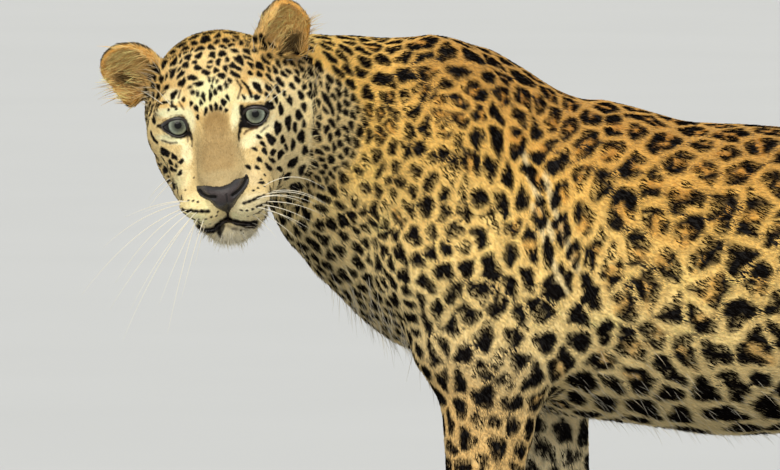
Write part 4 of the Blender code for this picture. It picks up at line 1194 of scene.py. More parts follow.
@dataclass
class Markings:
    """The colour of the coat at any place on the skin."""

    surface: Surface
    seed: int = 5
    edge: float = 0.0007
    pale: float = 0.20
    light: float = 1.16
    crown_row: float = 84
    crown_size: float = 1.48
    face_size: float = 1.3
    body_size: float = 1.66
    room: float = 0.79
    spots: list[Spot] = field(default_factory=list)
    tree: BVHTree | None = None

    top_line: tuple = ((300, 33), (460, 35), (473, 39.5), (490, 48), (505, 58.8), (520, 69.7), (535, 83), (565, 91.5),
                       (595, 97.8), (642, 111), (667, 117), (739, 123), (778, 125.4), (1000, 116), (1080, 118),
                       (1150, 150))
    low_line: tuple = ((270, 225), (303, 245), (321, 273), (355, 301), (387, 329), (413, 360), (436, 391), (520, 402),
                       (611, 420), (722, 437), (800, 432), (900, 410), (1000, 370), (1060, 330), (1150, 255))
    ramp: tuple = ((0.00, "c8b585"), (0.10, "dcc792"), (0.26, "ecd08e"), (0.50, "ecc87a"), (0.72, "e3b761"),
                   (0.88, "d3a351"), (1.00, "bf9047"))

    def prepare(self) -> None:
        """Place every spot."""
        self.tree = self.surface.tree()
        self.place_face_spots()
        face = len(self.spots)
        self.fill_spots()
        LOG.info("spots: %d on the face by place, %d in all", face, len(self.spots))

    def spot(self, place: Vector, normal: Vector, row: tuple, kind: Kind) -> Spot:
        """A spot from its place and a row of (half width, stretch, tilt) in pixels and degrees."""
        half, stretch, tilt = row
        tilt = math.radians(tilt)
        normal = np.array(normal)
        along = np.array([math.cos(tilt), 0.0, -math.sin(tilt)])
        along = unit(along - (along @ normal) * normal)
        seed = len(self.spots) + self.seed * 1000
        return Spot(np.array(place), normal, along, half * PHOTO.metres, stretch, kind, seed)

    def place_face_spots(self) -> None:
        """Spots of the face and the dots of the whisker pads, by their pixels."""
        for column, row, half, stretch, tilt in FACE_SPOTS:
            hit = on_skin(self.surface, self.tree, column, row)
            if hit:
                half *= self.crown_size if row < self.crown_row else self.face_size
                self.spots.append(self.spot(hit[0], PHOTO.back(), (half, stretch, tilt), Kind.SOLID))
        for pixels, half in WHISKER_ROWS:
            for column, row in pixels:
                hit = on_skin(self.surface, self.tree, column, row)
                if hit:
                    self.spots.append(self.spot(*hit, (half, 1.25, 0), Kind.SOLID))

    def rules(self, points: Array, normals: Array, share: Array) -> tuple[Array, Array]:
        """Spacing, half width, stretch, tilt and rosette share at places.

        Args:
            points: The places.
            normals: Their normals.
            share: Share of each part of the body there.

        Returns:
            Rows of the five numbers, and whether spots may grow there.
        """
        seen = side_pixels(points)
        away = ((seen[:, None, :] - BODY_SPOTS[None, :, :2]) ** 2).sum(axis=2)
        weights = 1 / (away + 60.0) ** 2
        rows = weights @ BODY_SPOTS[:, 2:] / weights.sum(axis=1, keepdims=True)
        head = share_of(share, Part.HEAD) * smooth_step(-0.105, -0.080, HEAD.local(points)[:, 1])
        ear = share_of(share, Part.EAR)
        on_head = np.array([10.0, 2.9, 1.7, 60.0, 0.0])
        rows = rows + (on_head - rows) * smooth_step(0.3, 0.7, head)[:, None]
        local = HEAD.local(points)
        front = (head > 0.5) & (local[:, 1] > -0.050) & (normals[:, 1] < -0.15)
        front |= (local[:, 1] > 0.02) & (np.abs(local[:, 0]) < 0.03)
        return rows, ~front & (ear < 0.35)

    def fill_spots(self) -> None:
        """Spots over the rest of the coat, as far apart as the rules say."""
        surface = self.surface
        on_head = share_of(surface.fields["share"], Part.HEAD) > 0.3
        rough = np.where(on_head, 260_000, 45_000).astype(float)
        chosen, weights = surface.scatter(rough, self.seed)
        points = surface.at(surface.points, chosen, weights)
        normals = unit(surface.at(surface.normals, chosen, weights))
        rows, allowed = self.rules(points, normals, surface.at(surface.fields["share"], chosen, weights))
        draw = np.random.default_rng(self.seed + 1)
        cells: dict[tuple, list] = {}
        size = 0.040
        taken = 0
        reach = self.room * PHOTO.metres

        def add(place: Array, normal: Array, along: Array, gap: float, stretch: float) -> None:
            key = tuple(np.floor(place / size).astype(int))
            cells.setdefault(key, []).append((place, normal, along, gap, stretch))

        for spot in self.spots:
            add(spot.centre, spot.normal, spot.along, spot.half * 3.4, 1.0)
        for index in draw.permutation(len(points)):
            if not allowed[index]:
                continue
            place, normal = points[index], normals[index]
            spacing, half, stretch, tilt, share = rows[index]
            gap = spacing * reach
            turn = math.radians(tilt + draw.normal(0, 14))
            along = np.array([math.cos(turn), 0.0, -math.sin(turn)])
            along = unit(along - (along @ normal) * normal)
            key = np.floor(place / size).astype(int)
            others = [row for dx in (-1, 0, 1) for dy in (-1, 0, 1) for dz in (-1, 0, 1)
                      for row in cells.get((key[0] + dx, key[1] + dy, key[2] + dz), ())]
            if others and self.crowded(place, normal, along, gap, stretch, others):
                continue
            add(place, normal, along, gap, stretch)
            ring = draw.random() < share
            size_of = half * PHOTO.metres * draw.uniform(0.86, 1.16) / math.sqrt(stretch) * self.body_size
            pull = max(1.0, stretch * draw.uniform(0.85, 1.15))
            kind = Kind.ROSETTE if ring else Kind.SOLID
            if not ring and half > 9:
                size_of *= 0.88
            self.spots.append(Spot(place, normal, along, size_of, pull, kind, int(draw.integers(1 << 30))))
            taken += 1

    @staticmethod
    def crowded(place: Array, normal: Array, along: Array, gap: float, stretch: float, others: list) -> bool:
        """Whether another spot stands too near, with room measured longer along the stretch."""
        away = np.array([row[0] for row in others]) - place
        same = np.array([row[1] for row in others]) @ normal > 0.1
        gaps = 0.5 * (gap + np.array([row[3] for row in others]))
        down = away @ along
        wide = np.linalg.norm(away - down[:, None] * along, axis=1)
        root = math.sqrt(stretch)
        return bool((same & (np.hypot(down / root, wide * root) < gaps)).any())

    def ground(self, points: Array, normals: Array, share: Array) -> Array:
        """The coat's colour between the spots."""
        seen = side_pixels(points)
        top = np.interp(seen[:, 0], *np.array(self.top_line, dtype=float).T)
        low = np.interp(seen[:, 0], *np.array(self.low_line, dtype=float).T)
        level = (low - seen[:, 1]) / (low - top)
        level = np.clip(level + 0.10 * normals[:, 2] + 0.03 * noise(points, 18, 3), 0, 1)
        stops = np.array([stop for stop, _ in self.ramp])
        tones = np.array([srgb(code) for _, code in self.ramp])
        colour = np.stack([np.interp(level, stops, tones[:, i]) for i in range(3)], axis=1)
        neck = smooth_step(470, 330, seen[:, 0]) * smooth_step(0.25, 0.6, level)
        colour = blend(colour, srgb("f0c56a"), 0.8 * neck)
        colour = self.limbs(colour, points, normals, share)
        colour = self.head_ground(colour, points, normals, share)
        mottle = 1 + 0.07 * noise(points, 40, 7) + 0.06 * noise(points, 140, 8)
        return (colour * self.light * mottle[:, None]).clip(0, 1)

    def limbs(self, colour: Array, points: Array, normals: Array, share: Array) -> Array:
        """Legs golden outside and pale inside, and a tail pale underneath."""
        leg = share_of(share, Part.FOREARM, Part.SHANK, Part.THIGH)
        paw = share_of(share, Part.FOREPAW, Part.HINDPAW)
        outward = normals[:, 1] * np.sign(points[:, 1] - SHIFT.y)
        tone = blend(plain("e3d3ab", colour), srgb("ddb878"), smooth_step(-0.4, 0.5, outward))
        high = smooth_step(0.25, 0.45, points[:, 2])
        rump = share_of(share, Part.THIGH) * smooth_step(0.0, 0.6, outward)
        tone = blend(tone, srgb("d9a658"), rump * high * 0.6)
        colour = blend(colour, tone, np.clip(leg * 1.2, 0, 1))
        colour = blend(colour, srgb("dcc391"), np.clip(paw, 0, 1))
        tail = share_of(share, Part.TAIL_ROOT, Part.TAIL_MIDDLE, Part.TAIL_BEND, Part.TAIL_TIP)
        under = smooth_step(0.2, -0.6, -normals[:, 0] + 0.4 * normals[:, 2])
        tone = blend(plain("d49b48", colour), srgb("e6dcc2"), smooth_step(0.1, 0.8, -normals[:, 0]))
        tip = share_of(share, Part.TAIL_TIP) + 0.5 * share_of(share, Part.TAIL_BEND)
        tone = blend(tone, srgb("e9e0c8"), 0.5 * np.clip(tip, 0, 1) * (1 - under))
        return blend(colour, tone, np.clip(tail, 0, 1))

    def head_ground(self, colour: Array, points: Array, normals: Array, share: Array) -> Array:
        """The face's pale patches, the tan bridge of the nose, and the ears with painted shade in their hollows."""
        local = HEAD.local(points)
        head = share_of(share, Part.HEAD) * smooth_step(-0.105, -0.075, local[:, 1])
        ear = share_of(share, Part.EAR)
        base = blend(plain("dcc48c", colour), srgb("dab36a"), smooth_step(-0.01, 0.03, local[:, 2]))
        under = smooth_step(-0.055, -0.085, local[:, 2]) * smooth_step(-0.05, -0.01, local[:, 1])
        base = blend(base, srgb("ddcda2"), under)
        shown = in_photo(points)
        front = smooth_step(-0.25, 0.15, -normals[:, 1]) * (local[:, 1] > -0.07)
        for patch in PATCHES:
            base = blend(base, srgb(patch.colour), patch.share(shown) * front)
        colour = blend(colour, base, smooth_step(0.35, 0.75, head + ear))
        for item in EARS:
            place = item.local(points)
            mine = smooth_step(0.2, 0.6, ear) * (HEAD.local(points)[:, 0] * item.side > 0)
            cup = smooth_step(-0.15, 0.35, normals @ item.facing())
            rim = smooth_step(0.62, 1.0, np.hypot(place[:, 0] / 0.030, (place[:, 2] - 0.027) / 0.033))
            inner = blend(plain("f3c67c", colour), srgb("d69f4a"), rim)
            # Painted shade in the hollow at the base of the cup.
            for hollow in EAR_HOLLOW_SHADE:
                inner = blend(inner, srgb(hollow.colour), hollow.share(shown))
            back = blend(plain("1d150f", colour), srgb("e8ddc0"),
                         smooth_step(0.016, 0.010, np.hypot(place[:, 0], place[:, 2] - 0.036)))
            back = blend(back, srgb("c9994f"), smooth_step(0.018, 0.006, place[:, 2]))
            colour = blend(colour, blend(back, inner, cup), mine)
        return colour

    def colours(self, points: Array, normals: Array, share: Array, seed: int) -> tuple[Array, Array]:
        """Colours of the coat at places on the skin, and how dark the markings are there."""
        return self.marked(self.ground(points, normals, share), points, normals, seed)

    def marked(self, ground: Array, points: Array, normals: Array, seed: int) -> tuple[Array, Array]:
        """The ground with every marking over it.

        Args:
            ground: The colours between the spots.
            points: The places.
            normals: Their normals.
            seed: Seed of the small wander at the spots' edges.

        Returns:
            Linear colours, and how dark the markings are there.
        """
        draw = np.random.default_rng(seed)
        colour = ground.copy()
        grid = PointGrid(points)
        for stroke in PALE_FOLDS:
            stroke.paint(points, colour, grid, self.surface, self.tree)
        warp = np.stack([noise(points, 150, 11), noise(points, 150, 12), noise(points, 150, 13)], axis=1)
        warp = warp * 0.0011 + draw.normal(0, 0.00028, points.shape)
        dark, fill = np.zeros(len(points)), np.zeros(len(points))
        owner = np.full(len(points), -1)
        first, second = np.full(len(points), 9.0), np.full(len(points), 9.0)
        for number, spot in enumerate(self.spots):
            near = grid.near(spot.centre, spot.reach())
            near = near[normals[near] @ spot.normal > 0.12]
            away = np.linalg.norm(spot.plane(points[near]), axis=1)
            nearer = away < first[near]
            second[near] = np.where(nearer, first[near], np.minimum(second[near], away))
            first[near] = np.where(nearer, away, first[near])
            owner[near[nearer]] = number
        order = np.argsort(owner, kind="stable")
        starts = np.searchsorted(owner[order], np.arange(len(self.spots) + 1))
        for spot, start, end in zip(self.spots, starts[:-1], starts[1:]):
            mine = order[start:end]
            gentle = min(1.0, spot.half / 0.006)
            limit = np.clip(0.5 * (first[mine] + second[mine]) - self.pale, 0.3, 1.0)
            flat = spot.plane(points[mine] + warp[mine] * gentle) / limit[:, None]
            rng = np.random.default_rng(spot.seed)
            level, inner = spot.rosette(flat, rng) if spot.kind is Kind.ROSETTE else spot.solid(flat, rng)
            edge = self.edge * (0.45 + 0.55 * gentle)
            dark[mine] = np.clip(0.5 + level * limit * spot.half / (2 * edge), 0, 1)
            fill[mine] = np.clip(inner * 4, 0, 1)
        colour = blend(colour, colour * np.array([0.86, 0.71, 0.52]), 0.85 * fill)
        ink = srgb(BLACK)[None, :] * (1 + 0.35 * noise(points, 90, 21))[:, None]
        colour = blend(colour, ink, dark)
        before = colour.copy()
        for stroke in STROKES:
            stroke.paint(points, colour, grid, self.surface, self.tree)
        bare = np.flatnonzero(Nose.covers(points, 0.0005))
        colour[bare] = srgb(BLACK)
        darker = (before.sum(axis=1) - colour.sum(axis=1)) / (before.sum(axis=1) + 1e-6)
        return np.clip(colour, 0.001, 1), np.clip(np.maximum(dark, darker), 0, 1)


# ---------------------------------------------------------------- coat


def filling(flat: Array) -> Array:
    """Flat places stretched to fill the square of the map for baking, but for a thin margin."""
    low, high = flat.min(axis=0), flat.max(axis=0)
    return BAKE_MARGIN + (1 - 2 * BAKE_MARGIN) * (flat - low) / np.maximum(high - low, 1e-9)


def add_bake_map(mesh: bpy.types.Mesh, places: Array, corners: Array, triangles: Array) -> None:
    """A UV map where each tuft is a small patch at its root's place.

    Args:
        mesh: The mesh of the tufts.
        places: The root's place of each tuft.
        corners: Where each corner of a tuft is in its patch, from -1 to 1.
        triangles: The corners of each triangle.
    """
    flat = (places[:, None, :] + corners[None, :, :] * BAKE_PATCH).reshape(-1, 2)
    layer = mesh.uv_layers.new(name="OFBake")
    layer.data.foreach_set("uv", flat[triangles.ravel()].astype(np.float32).ravel())


@dataclass
class Coat:
    """Tufts of fur over the skin, each a thin closed blade that lies along it."""

    surface: Surface
    markings: Markings
    finish: bpy.types.Material
    seed: int = 40
    most: int = 48_000
    fullness: float = 0.93
    near: float = 0.42
    far: float = 0.80
    sink: float = 0.0004
    crest: float = 0.30
    # Painted shade: colour factor for the base corners of each tuft, deep in the coat.
    root_shade: tuple = (0.84, 0.76, 0.62)
    tip_tone: str = "f6e6bc"
    tip_share: float = 0.18

    def fields_at(self, chosen: Array, weights: Array) -> dict[str, Array]:
        """Everything that a tuft needs at its root."""
        surface = self.surface
        found = {name: surface.at(values, chosen, weights) for name, values in surface.fields.items()}
        found["root"] = surface.at(surface.points, chosen, weights)
        found["normal"] = unit(surface.at(surface.normals, chosen, weights))
        found["lie"] = in_skin(found["lie"], found["normal"])
        return found

    def build(self) -> list[bpy.types.Object]:
        """Grow every tuft.

        Returns:
            The pieces of the coat.
        """
        density = self.surface.fields["density"] * self.fullness
        chosen, weights = self.surface.scatter(density, self.seed)
        at = self.fields_at(chosen, weights)
        keep = self.bare(at["root"])
        at = {name: values[keep] for name, values in at.items()}
        self.style(at)
        ground = self.markings.ground(at["root"], at["normal"], at["share"])
        along = at["lie"] * at["length"][:, None]
        for tone, dark, reach in (("colour", "dark", self.near), ("far", "far_dark", self.far)):
            places = at["root"] + reach * along
            at[tone], at[dark] = self.markings.marked(ground, places, at["normal"], self.seed)
        LOG.info("tufts: %d", len(at["root"]))
        pieces = []
        for name, chosen_rows in self.groups(at):
            for number, rows in enumerate(self.halves(chosen_rows)):
                pieces.append(self.piece(f"coat_{name}_{number + 1}", {k: v[rows] for k, v in at.items()}))
        return pieces

    def halves(self, rows: Array) -> list[Array]:
        """Rows in as few lots as the limit of triangles allows."""
        lots = max(1, math.ceil(len(rows) / self.most))
        return np.array_split(rows, lots)

    def bare(self, roots: Array) -> Array:
        """Where fur grows: not inside the lids, not on the nose, and not right at the floor."""
        keep = np.ones(len(roots), dtype=bool)
        for eye in EYES:
            keep &= eye.inside(roots) < -0.0012
        keep &= ~Nose.covers(roots, 0.0)
        keep &= roots[:, 2] > 0.0012
        return keep

    def style(self, at: dict[str, Array]) -> None:
        """Longer hair where the animal has it: under the neck, chest and belly, on the chin and cheeks; shorter on the
        muzzle and by the eyes.
        """
        draw = np.random.default_rng(self.seed + 3)
        down = smooth_step(0.15, 0.85, -at["normal"][:, 2])
        share = at["share"]
        trunk = share_of(share, Part.NECK, Part.CHEST, Part.BELLY)
        at["length"] *= 1 + 0.55 * down * trunk
        at["lift"] += 9 * down * trunk
        local = HEAD.local(at["root"])
        head = share_of(share, Part.HEAD)
        chin = head * smooth_step(-0.080, -0.094, local[:, 2]) * smooth_step(-0.01, 0.02, local[:, 1])
        at["length"] *= 1 + 0.7 * chin
        at["lift"] += 12 * chin
        ruff = head * smooth_step(-0.045, -0.085, local[:, 1])
        at["length"] *= 1 + 0.8 * ruff
        muzzle = head * smooth_step(0.035, 0.06, local[:, 1])
        at["length"] *= 1 - 0.30 * muzzle
        at["width"] *= 1 - 0.15 * muzzle
        for eye in EYES:
            away = -eye.inside(at["root"])
            at["length"] *= np.where(away < 0.5, 0.35 + 0.65 * smooth_step(0.001, 0.012, away), 1)
        count = len(at["root"])
        at["length"] *= draw.uniform(0.75, 1.2, count)
        at["width"] *= draw.uniform(0.8, 1.25, count)
        at["lift"] = np.radians(at["lift"] * draw.uniform(0.6, 1.5, count))
        swing = np.radians(draw.normal(0, 11, count) + 10 * noise(at["root"], 70, 4))
        side = np.cross(at["normal"], at["lie"])
        at["lie"] = at["lie"] * np.cos(swing)[:, None] + side * np.sin(swing)[:, None]

    def groups(self, at: dict[str, Array]) -> list[tuple[str, Array]]:
        """Names and rows of the coat's pieces: by part, and by side where a part has two."""
        label = at["share"].argmax(axis=1)
        left = at["root"][:, 1] < SHIFT.y
        local = HEAD.local(at["root"])
        groups = []
        for part in PARTS:
            mine = label == PARTS.index(part)
            if part.value.startswith("tail"):
                continue
            if part is Part.HEAD:
                groups.append(("face", np.flatnonzero(mine & (local[:, 1] > -0.03))))
                groups.append(("head", np.flatnonzero(mine & (local[:, 1] <= -0.03))))
            elif part is Part.EAR:
                groups.append(("ears", np.flatnonzero(mine)))
            else:
                groups.append((part.value + "_left", np.flatnonzero(mine & left)))
                groups.append((part.value + "_right", np.flatnonzero(mine & ~left)))
        tails = [PARTS.index(p) for p in PARTS if p.value.startswith("tail")]
        groups.append(("tail", np.flatnonzero(np.isin(label, tails))))
        return [(name, rows) for name, rows in groups if len(rows)]

    def piece(self, name: str, at: dict[str, Array]) -> bpy.types.Object:
        """One piece of the coat.

        Args:
            name: The piece's name.
            at: Root, directions, sizes and colour of each tuft.

        Returns:
            The object.
        """
        root, normal, lie = at["root"], at["normal"], at["lie"]
        side = np.cross(normal, lie)
        length, width = at["length"][:, None], at["width"][:, None]
        lift = at["lift"][:, None]
        base = root - normal * self.sink
        tip = root + (lie * np.cos(lift) + normal * np.sin(lift)) * length
        ridge = root + lie * self.crest * length + normal * (self.crest * width + 0.45 * np.sin(lift) * length)
        points = np.stack([base - side * width / 2, base + side * width / 2, ridge, tip], axis=1).reshape(-1, 3)
        count = len(root)
        corner = np.arange(count)[:, None] * 4
        faces = np.array([(0, 2, 3), (2, 1, 3), (0, 1, 2), (0, 3, 1)])
        triangles = (corner[:, None, :] + faces[None, :, :]).reshape(-1, 3)
        mesh = mesh_from(name, points, triangles)
        draw = np.random.default_rng(self.seed + 9)
        fine = share_of(at["share"], Part.HEAD)[:, None]
        bright = 1 + draw.normal(0, 1, (count, 1)).clip(-2.4, 2.4) * (0.085 + 0.06 * fine)
        near, far = at["colour"] * bright, at["far"] * bright
        # Painted shade at each tuft's base, less inside dark markings; the tip takes the hair's own paler cream and a
        # little painted light (x 1.06).
        base = near * blend(np.array([self.root_shade]), np.array([[0.9, 0.9, 0.9]]), at["dark"])
        tip = blend(far, srgb(self.tip_tone)[None, :] * bright, self.tip_share * (1 - at["far_dark"])) * 1.06
        tones = np.stack([base, base, near, tip], axis=1).reshape(-1, 3)
        add_attribute(mesh, "fur", "FLOAT_COLOR", np.clip(tones, 0, 1))
        add_attribute(mesh, "lay", "FLOAT_VECTOR", np.repeat(normal, 4, axis=0))
        corners = np.array([(-1, -1), (1, -1), (0, 0), (0, 1)])
        add_bake_map(mesh, self.unwrap(name, root, normal), corners, triangles)
        return new_piece(name, mesh, self.finish)

    def unwrap(self, name: str, root: Array, normal: Array) -> Array:
        """The roots' places on an unwrap of the skin: round a part's own axis, and along it."""
        if name.startswith("coat_ears"):
            return self.unwrap_ears(root, normal)
        if name.startswith(("coat_face", "coat_head")):
            away = HEAD.local(root) - np.array([0, -0.055, -0.030])
            u = np.arctan2(away[:, 0], away[:, 1])
            v = np.arctan2(away[:, 2], np.hypot(away[:, 0], away[:, 1]))
        elif "paw" in name:
            away = root - (root.min(axis=0) + root.max(axis=0)) / 2
            u = np.arctan2(away[:, 1], away[:, 0])
            v = np.arctan2(away[:, 2], np.hypot(away[:, 0], away[:, 1]))
        elif name.startswith(("coat_forearm", "coat_shank", "coat_tail")):
            middle = self.axis_through(root)
            u = np.arctan2(*(root - middle)[:, [1, 0]].T)
            v = root[:, 2]
            if name.startswith("coat_tail"):
                u = np.arctan2(root[:, 1] - middle[:, 1], (root - middle) @ np.array([0.7, 0, 0.7]))
                v = root[:, 0] * 1.0 - root[:, 2] * (root[:, 0] < 0.49) + root[:, 2] * (root[:, 0] >= 0.62)
        else:
            u = np.arctan2(root[:, 1] - SHIFT.y, root[:, 2] - 0.47)
            v = root[:, 0]
        return filling(np.stack([u, v], axis=1))

    @staticmethod
    def axis_through(root: Array) -> Array:
        """The middle of the limb at each root's height."""
        level = np.floor((root[:, 2] - root[:, 2].min()) / 0.02).astype(int)
        count = np.maximum(np.bincount(level), 1)
        middle = np.stack([np.bincount(level, root[:, i]) / count for i in range(3)], axis=1)
        return middle[level]

    @staticmethod
    def unwrap_ears(root: Array, normal: Array) -> Array:
        """Four panels: the cup and the back of each ear."""
        out = np.zeros((len(root), 2))
        local = HEAD.local(root)
        for row, ear in enumerate(EARS):
            mine = local[:, 0] * ear.side > 0
            place = ear.local(root)
            cup = normal @ ear.facing() > 0
            u = np.clip(place[:, 0] / 0.075 + 0.5, 0, 1) * 0.47 + np.where(cup, 0.01, 0.51)
            v = np.clip((place[:, 2] + 0.02) / 0.09, 0, 1) * 0.47 + 0.01 + 0.5 * row
            out[mine] = np.stack([u, v], axis=1)[mine]
        return out


@dataclass
class LongHair:
    """Loose hairs and locks that break the outline: under the chest and belly, on the chin and in the ears."""

    surface: Surface
    markings: Markings
    finish: bpy.types.Material
    seed: int = 71
    rings: int = 4
    ruff_line: tuple = ((308, 70), (310, 105), (310, 135), (307, 163), (298, 188), (286, 204))

    def places(self) -> dict[str, Array]:
        """Where long hair grows, with its sizes."""
        surface = self.surface
        share = surface.fields["share"]
        normal = surface.normals
        column = {part: share[:, PARTS.index(part)] for part in PARTS}
        local = HEAD.local(surface.points)
        seen = side_pixels(surface.points)
        down = smooth_step(0.35, 0.8, -normal[:, 2])
        front = smooth_step(0.2, 0.7, -normal[:, 0] * 0.8 - normal[:, 2] * 0.5) * (seen[:, 1] > 270)
        chest = column[Part.CHEST] * np.maximum(down, front) * (seen[:, 0] < 470)
        chest *= np.abs(surface.points[:, 1] - SHIFT.y) < 0.07
        belly = (column[Part.BELLY] + column[Part.RUMP] + column[Part.CHEST] * (seen[:, 0] > 540)) * down
        chin = column[Part.HEAD] * smooth_step(-0.086, -0.096, local[:, 2]) * smooth_step(0.0, 0.02, local[:, 1])
        cup = np.zeros(len(normal))
        for ear in EARS:
            place = ear.local(surface.points)
            mine = column[Part.EAR] * (local[:, 0] * ear.side > 0) * smooth_step(0.0, 0.5, normal @ ear.facing())
            cup = np.maximum(cup, mine * smooth_step(0.030, 0.018, np.abs(place[:, 2] - 0.022)))
        mirrored = local * np.array([-1.0, 1.0, 1.0]) @ np.array(HEAD.turn()).T + np.array(HEAD.brow())
        edge = np.array(self.ruff_line, dtype=float)
        away = np.minimum(along_line(in_photo(surface.points), edge)[0] + 99 * (local[:, 0] > 0),
                          along_line(in_photo(mirrored), edge)[0] + 99 * (local[:, 0] < 0))
        ruff = smooth_step(8, 2, away) * (local[:, 1] < -0.03) * np.clip(column[Part.HEAD] + column[Part.NECK], 0, 1)
        density = 26_000 * chest + 9_000 * belly + 120_000 * chin + 230_000 * cup + 50_000 * ruff
        total = chest + belly + chin + cup + ruff + 1e-6
        length = (0.024 * chest + 0.019 * belly + 0.010 * chin + 0.018 * cup + 0.012 * ruff) / total
        chosen, weights = surface.scatter(density, self.seed)
        at = {name: surface.at(values, chosen, weights) for name, values in surface.fields.items()}
        at["root"] = surface.at(surface.points, chosen, weights)
        at["normal"] = unit(surface.at(surface.normals, chosen, weights))
        at["length"] = surface.at(length, chosen, weights)
        at["cup"] = surface.at(cup, chosen, weights)
        at["plain"] = surface.at(np.maximum(cup, ruff), chosen, weights)
        return at

    def build(self) -> bpy.types.Object:
        """Grow the long hair.

        Returns:
            The piece.
        """
        at = self.places()
        draw = np.random.default_rng(self.seed + 1)
        count = len(at["root"])
        root, normal = at["root"], at["normal"]
        lie = in_skin(at["lie"], normal)
        ear_side = np.where(HEAD.local(root)[:, 0] > 0, 0, 1)
        outward = [HEAD.turned(np.array(ear.along() + ear.out() * 0.5)[None, :])[0] for ear in EARS]
        towards = np.array(outward)[ear_side]
        lie = unit(blend(lie, towards, np.clip(at["cup"] * 2, 0, 1)))
        lie = unit(lie + draw.normal(0, 0.22, (count, 3)))
        length = (at["length"] * draw.uniform(0.6, 1.15, count))[:, None]
        lift = np.radians(draw.uniform(14, 34, count))[:, None]
        width = np.where(at["cup"] > 0.2, 0.00075, 0.00065) * draw.uniform(0.7, 1.3, count)
        start = lie * np.cos(lift) + normal * np.sin(lift)
        sag = np.array([0, 0, -1.0]) * np.where(at["cup"] > 0.2, 0.10, 0.35)[:, None]
        side = unit(np.cross(normal, start))
        rows, tones = [], []
        colour, _ = self.markings.colours(root, normal, at["share"], self.seed)
        pale = blend(colour, srgb("e8e0cc"), 0.55 * (at["plain"] < 0.2))
        # The cup's long hairs keep the painted shade of the ear's hollow.
        hollow = sum(patch.share(in_photo(root)) for patch in EAR_HOLLOW_SHADE)
        streak = draw.normal(1.0, 0.22, (count, 1)).clip(0.5, 1.4)
        pale = blend(pale, srgb("f7cf8a") * 1.15 * streak, 0.85 * np.clip(at["cup"] * 2, 0, 1) * (1 - 0.92 * hollow))
        for ring in range(self.rings):
            t = ring / (self.rings - 1)
            middle = root - normal * 0.0005 * (ring == 0) + start * length * t + sag * length * t * t * 0.6
            half = (width * (1 - t) ** 0.7 * 0.5 + 0.00003)[:, None]
            rows += [middle - side * half, middle + side * half, middle + normal * half * 1.2]
            # Painted shade at each hair's root, painted light towards its tip.
            tones += [pale * (0.80 + 0.35 * t)] * 3
        points = np.stack(rows, axis=1).reshape(-1, 3)
        faces = []
        for ring in range(self.rings - 1):
            for i in range(3):
                a, b = 3 * ring + i, 3 * ring + (i + 1) % 3
                faces += [(a, b, b + 3), (a, b + 3, a + 3)]
        last = 3 * (self.rings - 1)
        faces += [(0, 2, 1), (last, last + 1, last + 2)]
        corner = np.arange(count)[:, None, None] * 3 * self.rings
        triangles = (corner + np.array(faces)[None, :, :]).reshape(-1, 3)
        mesh = mesh_from("coat_long_hair", points, triangles)
        add_attribute(mesh, "fur", "FLOAT_COLOR", np.clip(np.stack(tones, axis=1).reshape(-1, 3), 0, 1))
        add_attribute(mesh, "lay", "FLOAT_VECTOR", np.repeat(normal, 3 * self.rings, axis=0))
        flat = np.stack([root[:, 0], np.arctan2(root[:, 1] - SHIFT.y, 0.6 - root[:, 2])], axis=1)
        corners = np.array([(dx, dy) for dy in np.linspace(-1, 1, self.rings) for dx in (-1, 1, 0)])
        add_bake_map(mesh, filling(flat), corners, triangles)
        LOG.info("long hairs: %d", count)
        return new_piece("coat_long_hair", mesh, self.finish)


# ---------------------------------------------------------------- features of the head


def tube(name: str, path: Array, radii: Array, sides: int = 8, flatten: float = 1.0,
         out: Array | None = None) -> bpy.types.Mesh:
    """A closed tapered tube along a path.

    Args:
        name: Name of the mesh.
        path: Places along the middle.
        radii: Radius at each place.
        sides: Corners of a section.
        flatten: Thickness across the out direction, as a share of the width.
        out: Direction that is flattened, at each place.

    Returns:
        The mesh.
    """
    tangent = unit(np.gradient(path, axis=0))
    if out is None:
        out = np.repeat(np.array([[0.0, -1.0, 0.2]]), len(path), axis=0)
    out = unit(out - (out * tangent).sum(axis=1)[:, None] * tangent)
    side = np.cross(tangent, out)
    angle = np.arange(sides) * 2 * math.pi / sides
    ring = side[:, None, :] * np.cos(angle)[None, :, None] + out[:, None, :] * np.sin(angle)[None, :, None] * flatten
    points = (path[:, None, :] + ring * radii[:, None, None]).reshape(-1, 3)
    faces = []
    for i in range(len(path) - 1):
        for j in range(sides):
            a, b = i * sides + j, i * sides + (j + 1) % sides
            faces.append((a, b, b + sides, a + sides))
    mesh = bpy.data.meshes.new(name)
    ends = [tuple(range(sides))[::-1], tuple(range((len(path) - 1) * sides, len(path) * sides))]
    mesh.from_pydata(points.tolist(), [], faces + ends)
    mesh.update()
    return mesh


def joined(name: str, meshes: list[bpy.types.Mesh]) -> bpy.types.Mesh:
    """Several meshes in one."""
    form = bmesh.new()
    for mesh in meshes:
        form.from_mesh(mesh)
        bpy.data.meshes.remove(mesh)
    out = bpy.data.meshes.new(name)
    form.to_mesh(out)
    form.free()
    return out


